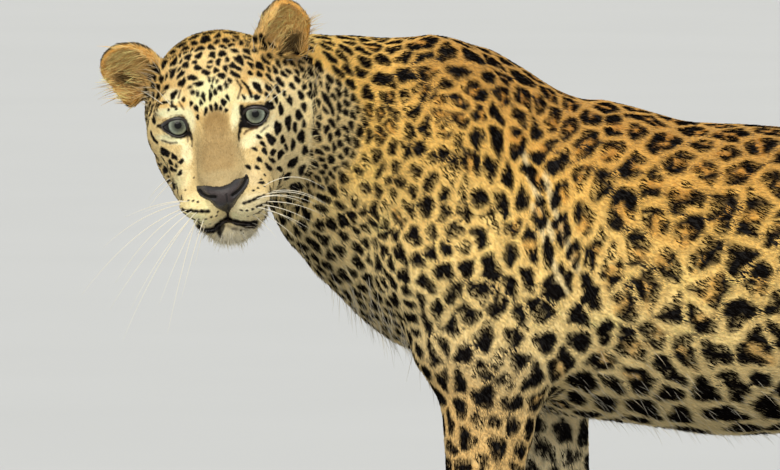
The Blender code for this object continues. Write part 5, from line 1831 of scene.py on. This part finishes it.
@dataclass
class Eye:
    """An eyeball with the bulge of its clear front, and the bare edges of its lids."""

    opening: EyeOpening
    finish: bpy.types.Material
    rim_finish: bpy.types.Material
    iris_radius: float = 0.0099
    bulge: float = 0.0012

    def build(self) -> None:
        """Make the eyeball and the black rims of its lids."""
        name = "right" if self.opening.side == 1 else "left"
        centre = self.opening.centre()
        gaze = (Vector(self.opening.on_ball(np.array(self.opening.iris), HEAD.eye_radius)) - centre).normalized()
        form = bmesh.new()
        bmesh.ops.create_uvsphere(form, u_segments=64, v_segments=64, radius=1.0)
        turn = gaze.to_track_quat("Z", "Y").to_matrix().to_4x4()
        radius = HEAD.eye_radius - 0.0002
        iris, around = [], []
        for vert in form.verts:
            arc = math.hypot(vert.co.x, vert.co.y) * radius
            flat = arc if vert.co.z > 0 else radius
            rise = self.bulge * max(0.0, 1 - (flat / self.iris_radius) ** 2)
            iris.append(flat)
            around.append(math.atan2(vert.co.y, vert.co.x))
            vert.co = vert.co * (radius + rise)
        form.transform(Matrix.Translation(centre) @ turn)
        mesh = bpy.data.meshes.new("eye")
        form.to_mesh(mesh)
        form.free()
        add_attribute(mesh, "iris", "FLOAT", np.array(iris) / self.iris_radius)
        turned = np.stack([np.cos(around), np.sin(around), np.array(iris) * 60], axis=1)
        add_attribute(mesh, "turned", "FLOAT_VECTOR", turned)
        piece = new_piece("eyeball_" + name, mesh, self.finish)
        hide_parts("eye_" + name)
        rims = new_piece("eye_rim_" + name, self.rims(), self.rim_finish)

    def rims(self) -> bpy.types.Mesh:
        """The bare black edge of both lids, heavier above."""
        flat = self.opening.outline(8)
        path = np.array([self.opening.on_ball(pixel, HEAD.eye_radius + 0.0005) for pixel in flat])
        radii = np.where(np.arange(len(flat)) < 8 * (len(self.opening.upper) - 1), 0.0017, 0.0008)
        for _ in range(6):
            radii = 0.5 * radii + 0.25 * (np.roll(radii, 1) + np.roll(radii, -1))
            path = 0.5 * path + 0.25 * (np.roll(path, 1, axis=0) + np.roll(path, -1, axis=0))
        out = unit(path - np.array(self.opening.centre()))
        return tube("rim", np.vstack([path, path[:1]]), np.append(radii, radii[0]), 8, 0.9, np.vstack([out, out[:1]]))


@dataclass
class Nose:
    """The bare nose: a shell over the skin inside its outline, with nostrils and the groove between them."""

    finish: bpy.types.Material
    surface: Surface
    step: float = 0.5

    @staticmethod
    def covers(points: Array, margin: float) -> Array:
        """Places that the bare nose covers, with a margin in metres round it."""
        near = np.flatnonzero(np.linalg.norm(HEAD.local(points) - np.array([0, 0.085, -0.045]), axis=1) < 0.045)
        out = np.zeros(len(points), dtype=bool)
        depth = depth_inside(in_photo(points[near]), curve_through(NOSE_OUTLINE, 3, closed=True))
        out[near] = depth * PHOTO.metres > -margin
        return out

    def build(self) -> bpy.types.Object:
        """Make the nose.

        Returns:
            The piece.
        """
        outline = curve_through(NOSE_OUTLINE, 4, closed=True)
        (left, top), (right, bottom) = outline.min(axis=0) - 2, outline.max(axis=0) + 2
        columns, rows = np.arange(left, right, self.step), np.arange(top, bottom, self.step)
        flat = np.stack(np.meshgrid(columns, rows), axis=-1).reshape(-1, 2)
        depth = depth_inside(flat, outline)
        tree = self.surface.tree()
        number = np.full(len(flat), -1)
        places = []
        for index in np.flatnonzero(depth > -1.5):
            hit = on_skin(self.surface, tree, *flat[index])
            if hit:
                number[index] = len(places)
                places.append(hit[0])
        corner = np.arange(len(flat)).reshape(len(rows), len(columns))
        quads = np.stack([corner[:-1, :-1], corner[1:, :-1], corner[1:, 1:], corner[:-1, 1:]], axis=-1).reshape(-1, 4)
        quads = number[quads]
        quads = quads[(quads >= 0).all(axis=1)]
        pad = Surface(np.array(places), np.vstack([quads[:, [0, 1, 2]], quads[:, [0, 2, 3]]]))
        edges = pad.edges()
        for _ in range(8):
            pad.points += (pad.mean_near(pad.points, edges) - pad.points) * 0.5
        seen, depth = flat[number >= 0], depth[number >= 0]
        hole = sum(np.exp(-(along_line(seen, curve_through(line, 5))[0] / 1.8) ** 2) for line in NOSTRILS)
        groove = np.exp(-(along_line(seen, np.array([(226.4, 194.0), (227.6, 203.0), (228.2, 213.0)]))[0] / 0.9) ** 2)
        forward = HEAD.turned(np.array([[0.0, 1.0, 0.0]]))
        rise = -0.0012 + 0.0034 * smooth_step(-1.5, 2.4, depth) - 0.0036 * hole - 0.0011 * groove
        pad.points += forward * (rise + 0.00012 * noise(pad.points, 900, 5))[:, None]
        # The rim is the leather's own black; the nostrils and the groove are painted black as the shade in those
        # hollows; darker towards the bottom.
        dark = 1 - smooth_step(1.0, 5.0, depth) + 1.9 * hole + 0.8 * groove + smooth_step(198, 205, seen[:, 1])
        obj = linked("pad", mesh_from("pad", pad.points, pad.triangles))
        add_attribute(obj.data, "dark", "FLOAT", np.clip(dark, 0, 1))
        thick = obj.modifiers.new("thick", "SOLIDIFY")
        thick.thickness = 0.003
        thick.offset = -1
        mesh = baked(obj)
        piece = new_piece("nose_pad", mesh, self.finish)
        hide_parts("nose")
        return piece


@dataclass
class Lips:
    """The black edge of the mouth and the cleft under the nose."""

    finish: bpy.types.Material
    surface: Surface

    def build(self) -> bpy.types.Object:
        """Make the lips and the cleft.

        Returns:
            The piece.
        """
        tree = self.surface.tree()
        meshes = []
        for pixels, first, last in LIP_LINES:
            hits = [on_skin(self.surface, tree, *pixel) for pixel in curve_through(pixels, 6)]
            path = np.array([hit[0] for hit in hits if hit])
            outs = np.array([hit[1] for hit in hits if hit])
            for _ in range(6):
                path[1:-1] = 0.5 * path[1:-1] + 0.25 * (path[:-2] + path[2:])
                outs[1:-1] = 0.5 * outs[1:-1] + 0.25 * (outs[:-2] + outs[2:])
            t = np.linspace(0, 1, len(path))
            radii = (first + (last - first) * t) * PHOTO.metres * np.sqrt(np.clip(1 - t ** 6, 0.02, 1))
            meshes.append(tube("lip", path - outs * 0.0004, radii, 8, 0.7, outs))
        piece = new_piece("lips", joined("lips", meshes), self.finish)
        return piece


@dataclass(frozen=True)
class Whisker:
    """One whisker: root pixel, length in metres, and its first direction and sag in the picture."""

    column: float
    row: float
    length: float
    angle: float
    sag: float
    forward: float = 0.25
    radius: float = 0.00040


@dataclass
class Whiskers:
    """Long white whiskers from the pads, the brows and the cheeks."""

    finish: bpy.types.Material
    surface: Surface
    rows: tuple = (
        (183, 200, 0.062, 168, 0.30), (181, 204, 0.085, 165, 0.45), (182, 209, 0.110, 160, 0.62),
        (187, 210, 0.085, 158, 0.70), (192, 211, 0.100, 146, 0.62), (186, 216, 0.075, 140, 0.60),
        (192, 217, 0.118, 132, 0.45), (198, 218, 0.080, 122, 0.40), (204, 219, 0.072, 112, 0.30),
        (189, 200.6, 0.050, 172, 0.30), (197, 212, 0.095, 138, 0.50), (170, 178, 0.026, 150, 0.55),
        (172, 182, 0.030, 140, 0.50), (163, 104, 0.030, 214, 0.10), (171, 105, 0.034, 228, 0.10),
        (263, 186, 0.080, -28, 0.85), (266, 194, 0.068, -14, 0.55), (261, 196.6, 0.062, -10, 0.45),
        (271, 192, 0.060, -20, 0.60), (267, 202, 0.060, -8, 0.45), (262, 205, 0.052, 0, 0.40),
        (264, 210, 0.048, 8, 0.40), (257, 207.6, 0.050, 2, 0.35), (259, 212.6, 0.042, 14, 0.35),
        (256, 198.8, 0.058, -16, 0.50), (269, 103, 0.032, -50, 0.15), (264, 102, 0.030, -62, 0.12),
        (252, 215, 0.032, 24, 0.30), (205, 224, 0.040, 104, 0.15), (191.7, 219, 0.100, 108, 0.20),
        (195.8, 220, 0.105, 105, 0.18),
    )

    def build(self) -> bpy.types.Object:
        """Make every whisker.

        Returns:
            The piece.
        """
        tree = self.surface.tree()
        draw = np.random.default_rng(12)
        meshes = []
        for item in (Whisker(*row) for row in self.rows):
            hit = on_skin(self.surface, tree, item.column, item.row)
            if not hit:
                continue
            angle = math.radians(item.angle)
            start = np.array([math.cos(angle), -item.forward, -math.sin(angle)])
            start = start + 0.25 * np.array(hit[1])
            t = np.linspace(0, 1, 16)[:, None]
            sway = draw.normal(0, 0.03, 3)
            path = np.array(hit[0]) - np.array(hit[1]) * 0.001
            path = path + item.length * (unit(start) * t + (np.array([0, 0, -1.0]) * item.sag + sway) * t * t * 0.7)
            radii = item.radius * (1 - 0.88 * t[:, 0] ** 1.2)
            meshes.append(tube("whisker", path, radii, 6))
        LOG.info("whiskers: %d", len(meshes))
        return new_piece("whiskers", joined("whiskers", meshes), self.finish)


# ---------------------------------------------------------------- finishes


class Value:
    """A shader socket that can be used in sums."""

    def __init__(self, shader: "Shader", socket: bpy.types.NodeSocket) -> None:
        """Wrap a socket of a shader."""
        self.shader = shader
        self.socket = socket

    def maths(self, operation: str, *others: "Value | float", swap: bool = False) -> "Value":
        """A Math node on this value and others."""
        values = [self, *others]
        if swap:
            values.reverse()
        node = self.shader.node("ShaderNodeMath", {"operation": operation}, dict(enumerate(values)))
        return Value(self.shader, node.outputs[0])

    def __add__(self, other: "Value | float") -> "Value":
        """Sum."""
        return self.maths("ADD", other)

    __radd__ = __add__

    def __mul__(self, other: "Value | float") -> "Value":
        """Product."""
        return self.maths("MULTIPLY", other)

    __rmul__ = __mul__

    def __sub__(self, other: "Value | float") -> "Value":
        """Difference."""
        return self.maths("SUBTRACT", other)

    def __rsub__(self, other: float) -> "Value":
        """Difference from a number."""
        return self.maths("SUBTRACT", other, swap=True)

    def step(self, low: float, high: float) -> "Value":
        """A smooth step between two values."""
        settings = {"interpolation_type": "SMOOTHSTEP"}
        node = self.shader.node("ShaderNodeMapRange", settings, {"Value": self, "From Min": low, "From Max": high})
        return Value(self.shader, node.outputs[0])


class Shader:
    """A material and its nodes."""

    def __init__(self, name: str) -> None:
        """Start a material with one Principled shader."""
        self.material = bpy.data.materials.new(name)
        self.material.use_nodes = True
        self.tree = self.material.node_tree
        self.surface = self.tree.nodes["Principled BSDF"]

    def node(self, kind: str, settings: dict, inputs: dict) -> bpy.types.Node:
        """Add a node.

        Args:
            kind: The node's type.
            settings: Its properties, set first.
            inputs: Values or links of its sockets, by name or number.

        Returns:
            The node.
        """
        node = self.tree.nodes.new(kind)
        for name, value in settings.items():
            if name == "stops":
                ramp = node.color_ramp
                while len(ramp.elements) < len(value):
                    ramp.elements.new(0.5)
                for element, (place, colour) in zip(ramp.elements, value):
                    element.position = place
                    element.color = colour
            else:
                setattr(node, name, value)
        for name, value in inputs.items():
            self.join(value, node.inputs[name])
        return node

    def join(self, value: "Value | float | tuple", socket: bpy.types.NodeSocket) -> None:
        """Link a value to a socket, or set the socket to a number."""
        if isinstance(value, Value):
            self.tree.links.new(value.socket, socket)
        else:
            socket.default_value = value

    def attribute(self, name: str, output: str = "Color") -> Value:
        """A value stored on the mesh."""
        node = self.node("ShaderNodeAttribute", {"attribute_name": name}, {})
        return Value(self, node.outputs[output])

    def noise(self, scale: float, detail: float = 3.0, place: Value | None = None) -> Value:
        """Noise in the row frame."""
        if place is None:
            place = Value(self, self.node("ShaderNodeTexCoord", {}, {}).outputs["Object"])
        node = self.node("ShaderNodeTexNoise", {}, {"Vector": place, "Scale": scale, "Detail": detail})
        return Value(self, node.outputs["Fac"])

    def mix(self, share: "Value | float", first: "Value | tuple", second: "Value | tuple") -> Value:
        """A mix of two colours."""
        inputs = {0: share, 6: first, 7: second}
        node = self.node("ShaderNodeMix", {"data_type": "RGBA"}, inputs)
        return Value(self, node.outputs[2])

    def scaled(self, colour: Value, amount: Value) -> Value:
        """A colour made darker or lighter."""
        node = self.node("ShaderNodeVectorMath", {"operation": "SCALE"}, {0: colour, "Scale": amount})
        return Value(self, node.outputs[0])

    def bump(self, height: Value, strength: float, distance: float) -> Value:
        """A bumped normal."""
        node = self.node("ShaderNodeBump", {}, {"Height": height, "Strength": strength, "Distance": distance})
        return Value(self, node.outputs[0])

    def leaning(self, share: float, attribute: str) -> Value:
        """The true normal, leaning towards a direction stored on the mesh."""
        true = Value(self, self.node("ShaderNodeNewGeometry", {}, {}).outputs["Normal"])
        stored = self.attribute(attribute, "Vector")
        near = self.node("ShaderNodeVectorMath", {"operation": "SCALE"}, {0: stored, "Scale": share})
        rest = self.node("ShaderNodeVectorMath", {"operation": "SCALE"}, {0: true, "Scale": 1 - share})
        inputs = {0: Value(self, near.outputs[0]), 1: Value(self, rest.outputs[0])}
        total = self.node("ShaderNodeVectorMath", {"operation": "ADD"}, inputs)
        even = self.node("ShaderNodeVectorMath", {"operation": "NORMALIZE"}, {0: Value(self, total.outputs[0])})
        return Value(self, even.outputs[0])

    def finish(self, **inputs: "Value | float | tuple") -> bpy.types.Material:
        """Set the Principled shader's sockets, named with underscores, and return the material."""
        for name, value in inputs.items():
            self.join(value, self.surface.inputs[name.replace("_", " ")])
        return self.material


@dataclass(frozen=True)
class FurFinish:
    """Dry short hair, lit as it lies rather than by the facets of its tufts."""

    roughness: float = 0.62
    gloss: float = 0.01
    lean: float = 0.45

    def material(self) -> bpy.types.Material:
        """The material of the tufts."""
        shader = Shader("fur")
        streak = shader.noise(900, 2.0)
        colour = shader.scaled(shader.attribute("fur"), 0.84 + streak * 0.32)
        return shader.finish(Base_Color=colour, Roughness=self.roughness, Specular_IOR_Level=self.gloss,
                             Normal=shader.leaning(self.lean, "lay"))


@dataclass(frozen=True)
class SkinFinish:
    """The undercoat: the same markings, with the fine relief of short hair."""

    roughness: float = 0.75
    relief: float = 0.0009

    def material(self) -> bpy.types.Material:
        """The material of the skin under the tufts."""
        shader = Shader("undercoat")
        fine = shader.noise(700, 3.0)
        colour = shader.scaled(shader.attribute("fur"), 0.80 + fine * 0.36)
        relief = shader.bump(fine, 0.8, self.relief)
        return shader.finish(Base_Color=colour, Roughness=self.roughness, Normal=relief, Specular_IOR_Level=0.2)


@dataclass(frozen=True)
class LeatherFinish:
    """Bare damp skin of the nose, lips and lids."""

    middle: str = "2b1d1b"
    black: str = "120c0b"
    lip: str = "241917"
    relief: float = 0.00035

    def nose(self) -> bpy.types.Material:
        """The nose: dark brown in the middle, black at its rim, with painted shade in its nostrils and groove."""
        shader = Shader("nose_leather")
        cells = shader.node("ShaderNodeTexVoronoi", {}, {"Scale": 1100.0})
        pebble = Value(shader, cells.outputs["Distance"])
        dark = shader.attribute("dark", "Fac")
        mottle = shader.noise(420, 3.0)
        share = (dark + (mottle - 0.5) * 0.5).step(0.05, 0.95)
        colour = shader.mix(share, opaque(self.middle), opaque(self.black))
        relief = shader.bump(pebble, 0.5, self.relief)
        return shader.finish(Base_Color=colour, Roughness=0.36, Normal=relief, Coat_Weight=0.25, Coat_Roughness=0.2)

    def lips(self) -> bpy.types.Material:
        """Black lips and lids."""
        shader = Shader("lip_leather")
        mottle = shader.noise(500, 3.0)
        colour = shader.mix(mottle, opaque(self.black), opaque(self.lip))
        relief = shader.bump(mottle, 0.4, self.relief)
        return shader.finish(Base_Color=colour, Roughness=0.34, Normal=relief, Coat_Weight=0.3, Coat_Roughness=0.15)


@dataclass(frozen=True)
class EyeFinish:
    """A pale grey-green iris, a small round pupil and a wet front."""

    pupil: float = 0.34
    wet: float = 0.45
    edge: str = "14120e"
    rings: tuple = ((0.0, "3f4136"), (0.35, "62675a"), (0.70, "8f9784"), (1.0, "6d7364"))

    def material(self) -> bpy.types.Material:
        """The eyeball's material."""
        shader = Shader("eyeball")
        radius = shader.attribute("iris", "Fac")
        fibre = shader.noise(5.0, 4.0, shader.attribute("turned", "Vector"))
        stops = [(place, opaque(code)) for place, code in self.rings]
        ramp = shader.node("ShaderNodeValToRGB", {"stops": stops},
                           {0: (radius - self.pupil) * (1 / (1 - self.pupil))})
        iris = shader.scaled(Value(shader, ramp.outputs[0]), 0.55 + fibre * 0.9)
        limbus = radius.step(0.84, 1.0)
        colour = shader.mix(limbus, iris, opaque(self.edge))
        pupil = 1 - radius.step(self.pupil - 0.03, self.pupil + 0.03)
        colour = shader.mix(pupil, colour, (0.002, 0.002, 0.002, 1))
        return shader.finish(Base_Color=colour, Roughness=0.22, Coat_Weight=self.wet, Coat_Roughness=0.03,
                             Coat_IOR=1.38, Specular_IOR_Level=0.1)


@dataclass(frozen=True)
class WhiskerFinish:
    """Stiff white hair."""

    def material(self) -> bpy.types.Material:
        """The whiskers' material."""
        shader = Shader("whisker")
        tint = shader.noise(60, 2.0)
        colour = shader.mix(tint, opaque("f7f0dd"), opaque("e9dfc2"))
        return shader.finish(Base_Color=colour, Roughness=0.35, Specular_IOR_Level=0.5)


@dataclass(frozen=True)
class FloorFinish:
    """Plain pale floor."""

    darker: tuple = (0.50, 0.51, 0.50, 1)
    lighter: tuple = (0.53, 0.54, 0.53, 1)

    def material(self) -> bpy.types.Material:
        """The floor's material."""
        shader = Shader("floor")
        tint = shader.noise(1.5, 2.0)
        colour = shader.mix(tint, self.darker, self.lighter)
        return shader.finish(Base_Color=colour, Roughness=0.8, Specular_IOR_Level=0.2)


# ---------------------------------------------------------------- studio


@dataclass
class Studio:
    """Pale floor, soft light and the camera at the photograph's angle."""

    floor_size: float = 400.0
    sky: tuple = (0.98, 0.985, 1.0)
    sky_strength: float = 0.70
    key: float = 2.2
    fill: float = 0.6

    def build(self) -> None:
        """Set up the floor, the lights and the camera."""
        form = bmesh.new()
        bmesh.ops.create_grid(form, x_segments=8, y_segments=8, size=self.floor_size / 2)
        mesh = bpy.data.meshes.new("floor")
        form.to_mesh(mesh)
        form.free()
        mesh.materials.append(FloorFinish().material())
        floor = linked("floor", mesh)
        world = bpy.data.worlds.new("studio")
        world.use_nodes = True
        light = world.node_tree.nodes["Background"]
        light.inputs["Color"].default_value = (*self.sky, 1)
        light.inputs["Strength"].default_value = self.sky_strength
        bpy.context.scene.world = world
        self.sun("key", self.key, (1.0, 0.96, 0.88), math.radians(50), Vector((-0.15, -1.0, 0.9)))
        self.sun("fill", self.fill, (0.95, 0.97, 1.0), math.radians(60), Vector((0.9, 0.8, 0.8)))
        self.camera()

    @staticmethod
    def sun(name: str, strength: float, colour: tuple, spread: float, source: Vector) -> None:
        """A soft light from far away."""
        lamp = bpy.data.lights.new(name, "SUN")
        lamp.energy = strength
        lamp.color = colour
        lamp.angle = spread
        linked(name, lamp).rotation_euler = source.to_track_quat("Z", "Y").to_euler()

    @staticmethod
    def camera() -> None:
        """The camera at the photograph's viewing angle and framing."""
        lens = bpy.data.cameras.new("camera")
        lens.sensor_width = PHOTO.sensor
        lens.lens = PHOTO.sensor * PHOTO.distance / (PHOTO.width * PHOTO.metres)
        lens.clip_end = 300.0
        camera = linked("camera", lens)
        camera.location = PHOTO.target(HEAD) + PHOTO.back() * PHOTO.distance
        camera.rotation_euler = (-PHOTO.back()).to_track_quat("-Z", "Y").to_euler()
        bpy.context.scene.camera = camera
        bpy.context.scene.view_settings.view_transform = "Standard"


def skin_piece(surface: Surface, markings: Markings) -> bpy.types.Object:
    """The visible skin, which stands for every node of flesh."""
    colours, _ = markings.colours(surface.points, surface.normals, surface.fields["share"], 3)
    # Black lid margins, and painted shade on the skin behind the lids, which shows in any gap round the eyeball.
    for eye in EYES:
        colours = blend(colours, srgb(BLACK), smooth_step(-0.0014, 0.0002, eye.inside(surface.points)))
    mesh = mesh_from("skin", surface.points, surface.triangles)
    add_attribute(mesh, "fur", "FLOAT_COLOR", colours)
    piece = new_piece("skin", mesh, SkinFinish().material())
    flesh = [name for name in sorted(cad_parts) if part_of(name)]
    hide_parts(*flesh)
    return piece


def main() -> None:
    """Build the leopard's looks in order."""
    logging.basicConfig(level=logging.INFO, format="%(asctime)s %(message)s")
    Studio().build()
    surface = Skin().build()
    LOG.info("skin: %d triangles, %.3f square metres", len(surface.triangles), surface.areas().sum())
    markings = Markings(surface)
    markings.prepare()
    skin_piece(surface, markings)
    fur = FurFinish().material()
    for piece in Coat(surface, markings, fur).build():
        LOG.info("%s: %d triangles", piece.name, len(piece.data.polygons))
    LongHair(surface, markings, fur).build()
    leather = LeatherFinish()
    lips = leather.lips()
    eye = EyeFinish().material()
    for opening in EYES:
        Eye(opening, eye, lips).build()
    Nose(leather.nose(), surface).build()
    Lips(lips, surface).build()
    Whiskers(WhiskerFinish().material(), surface).build()
    LOG.info("done")


if __name__ == "__main__":
    main()
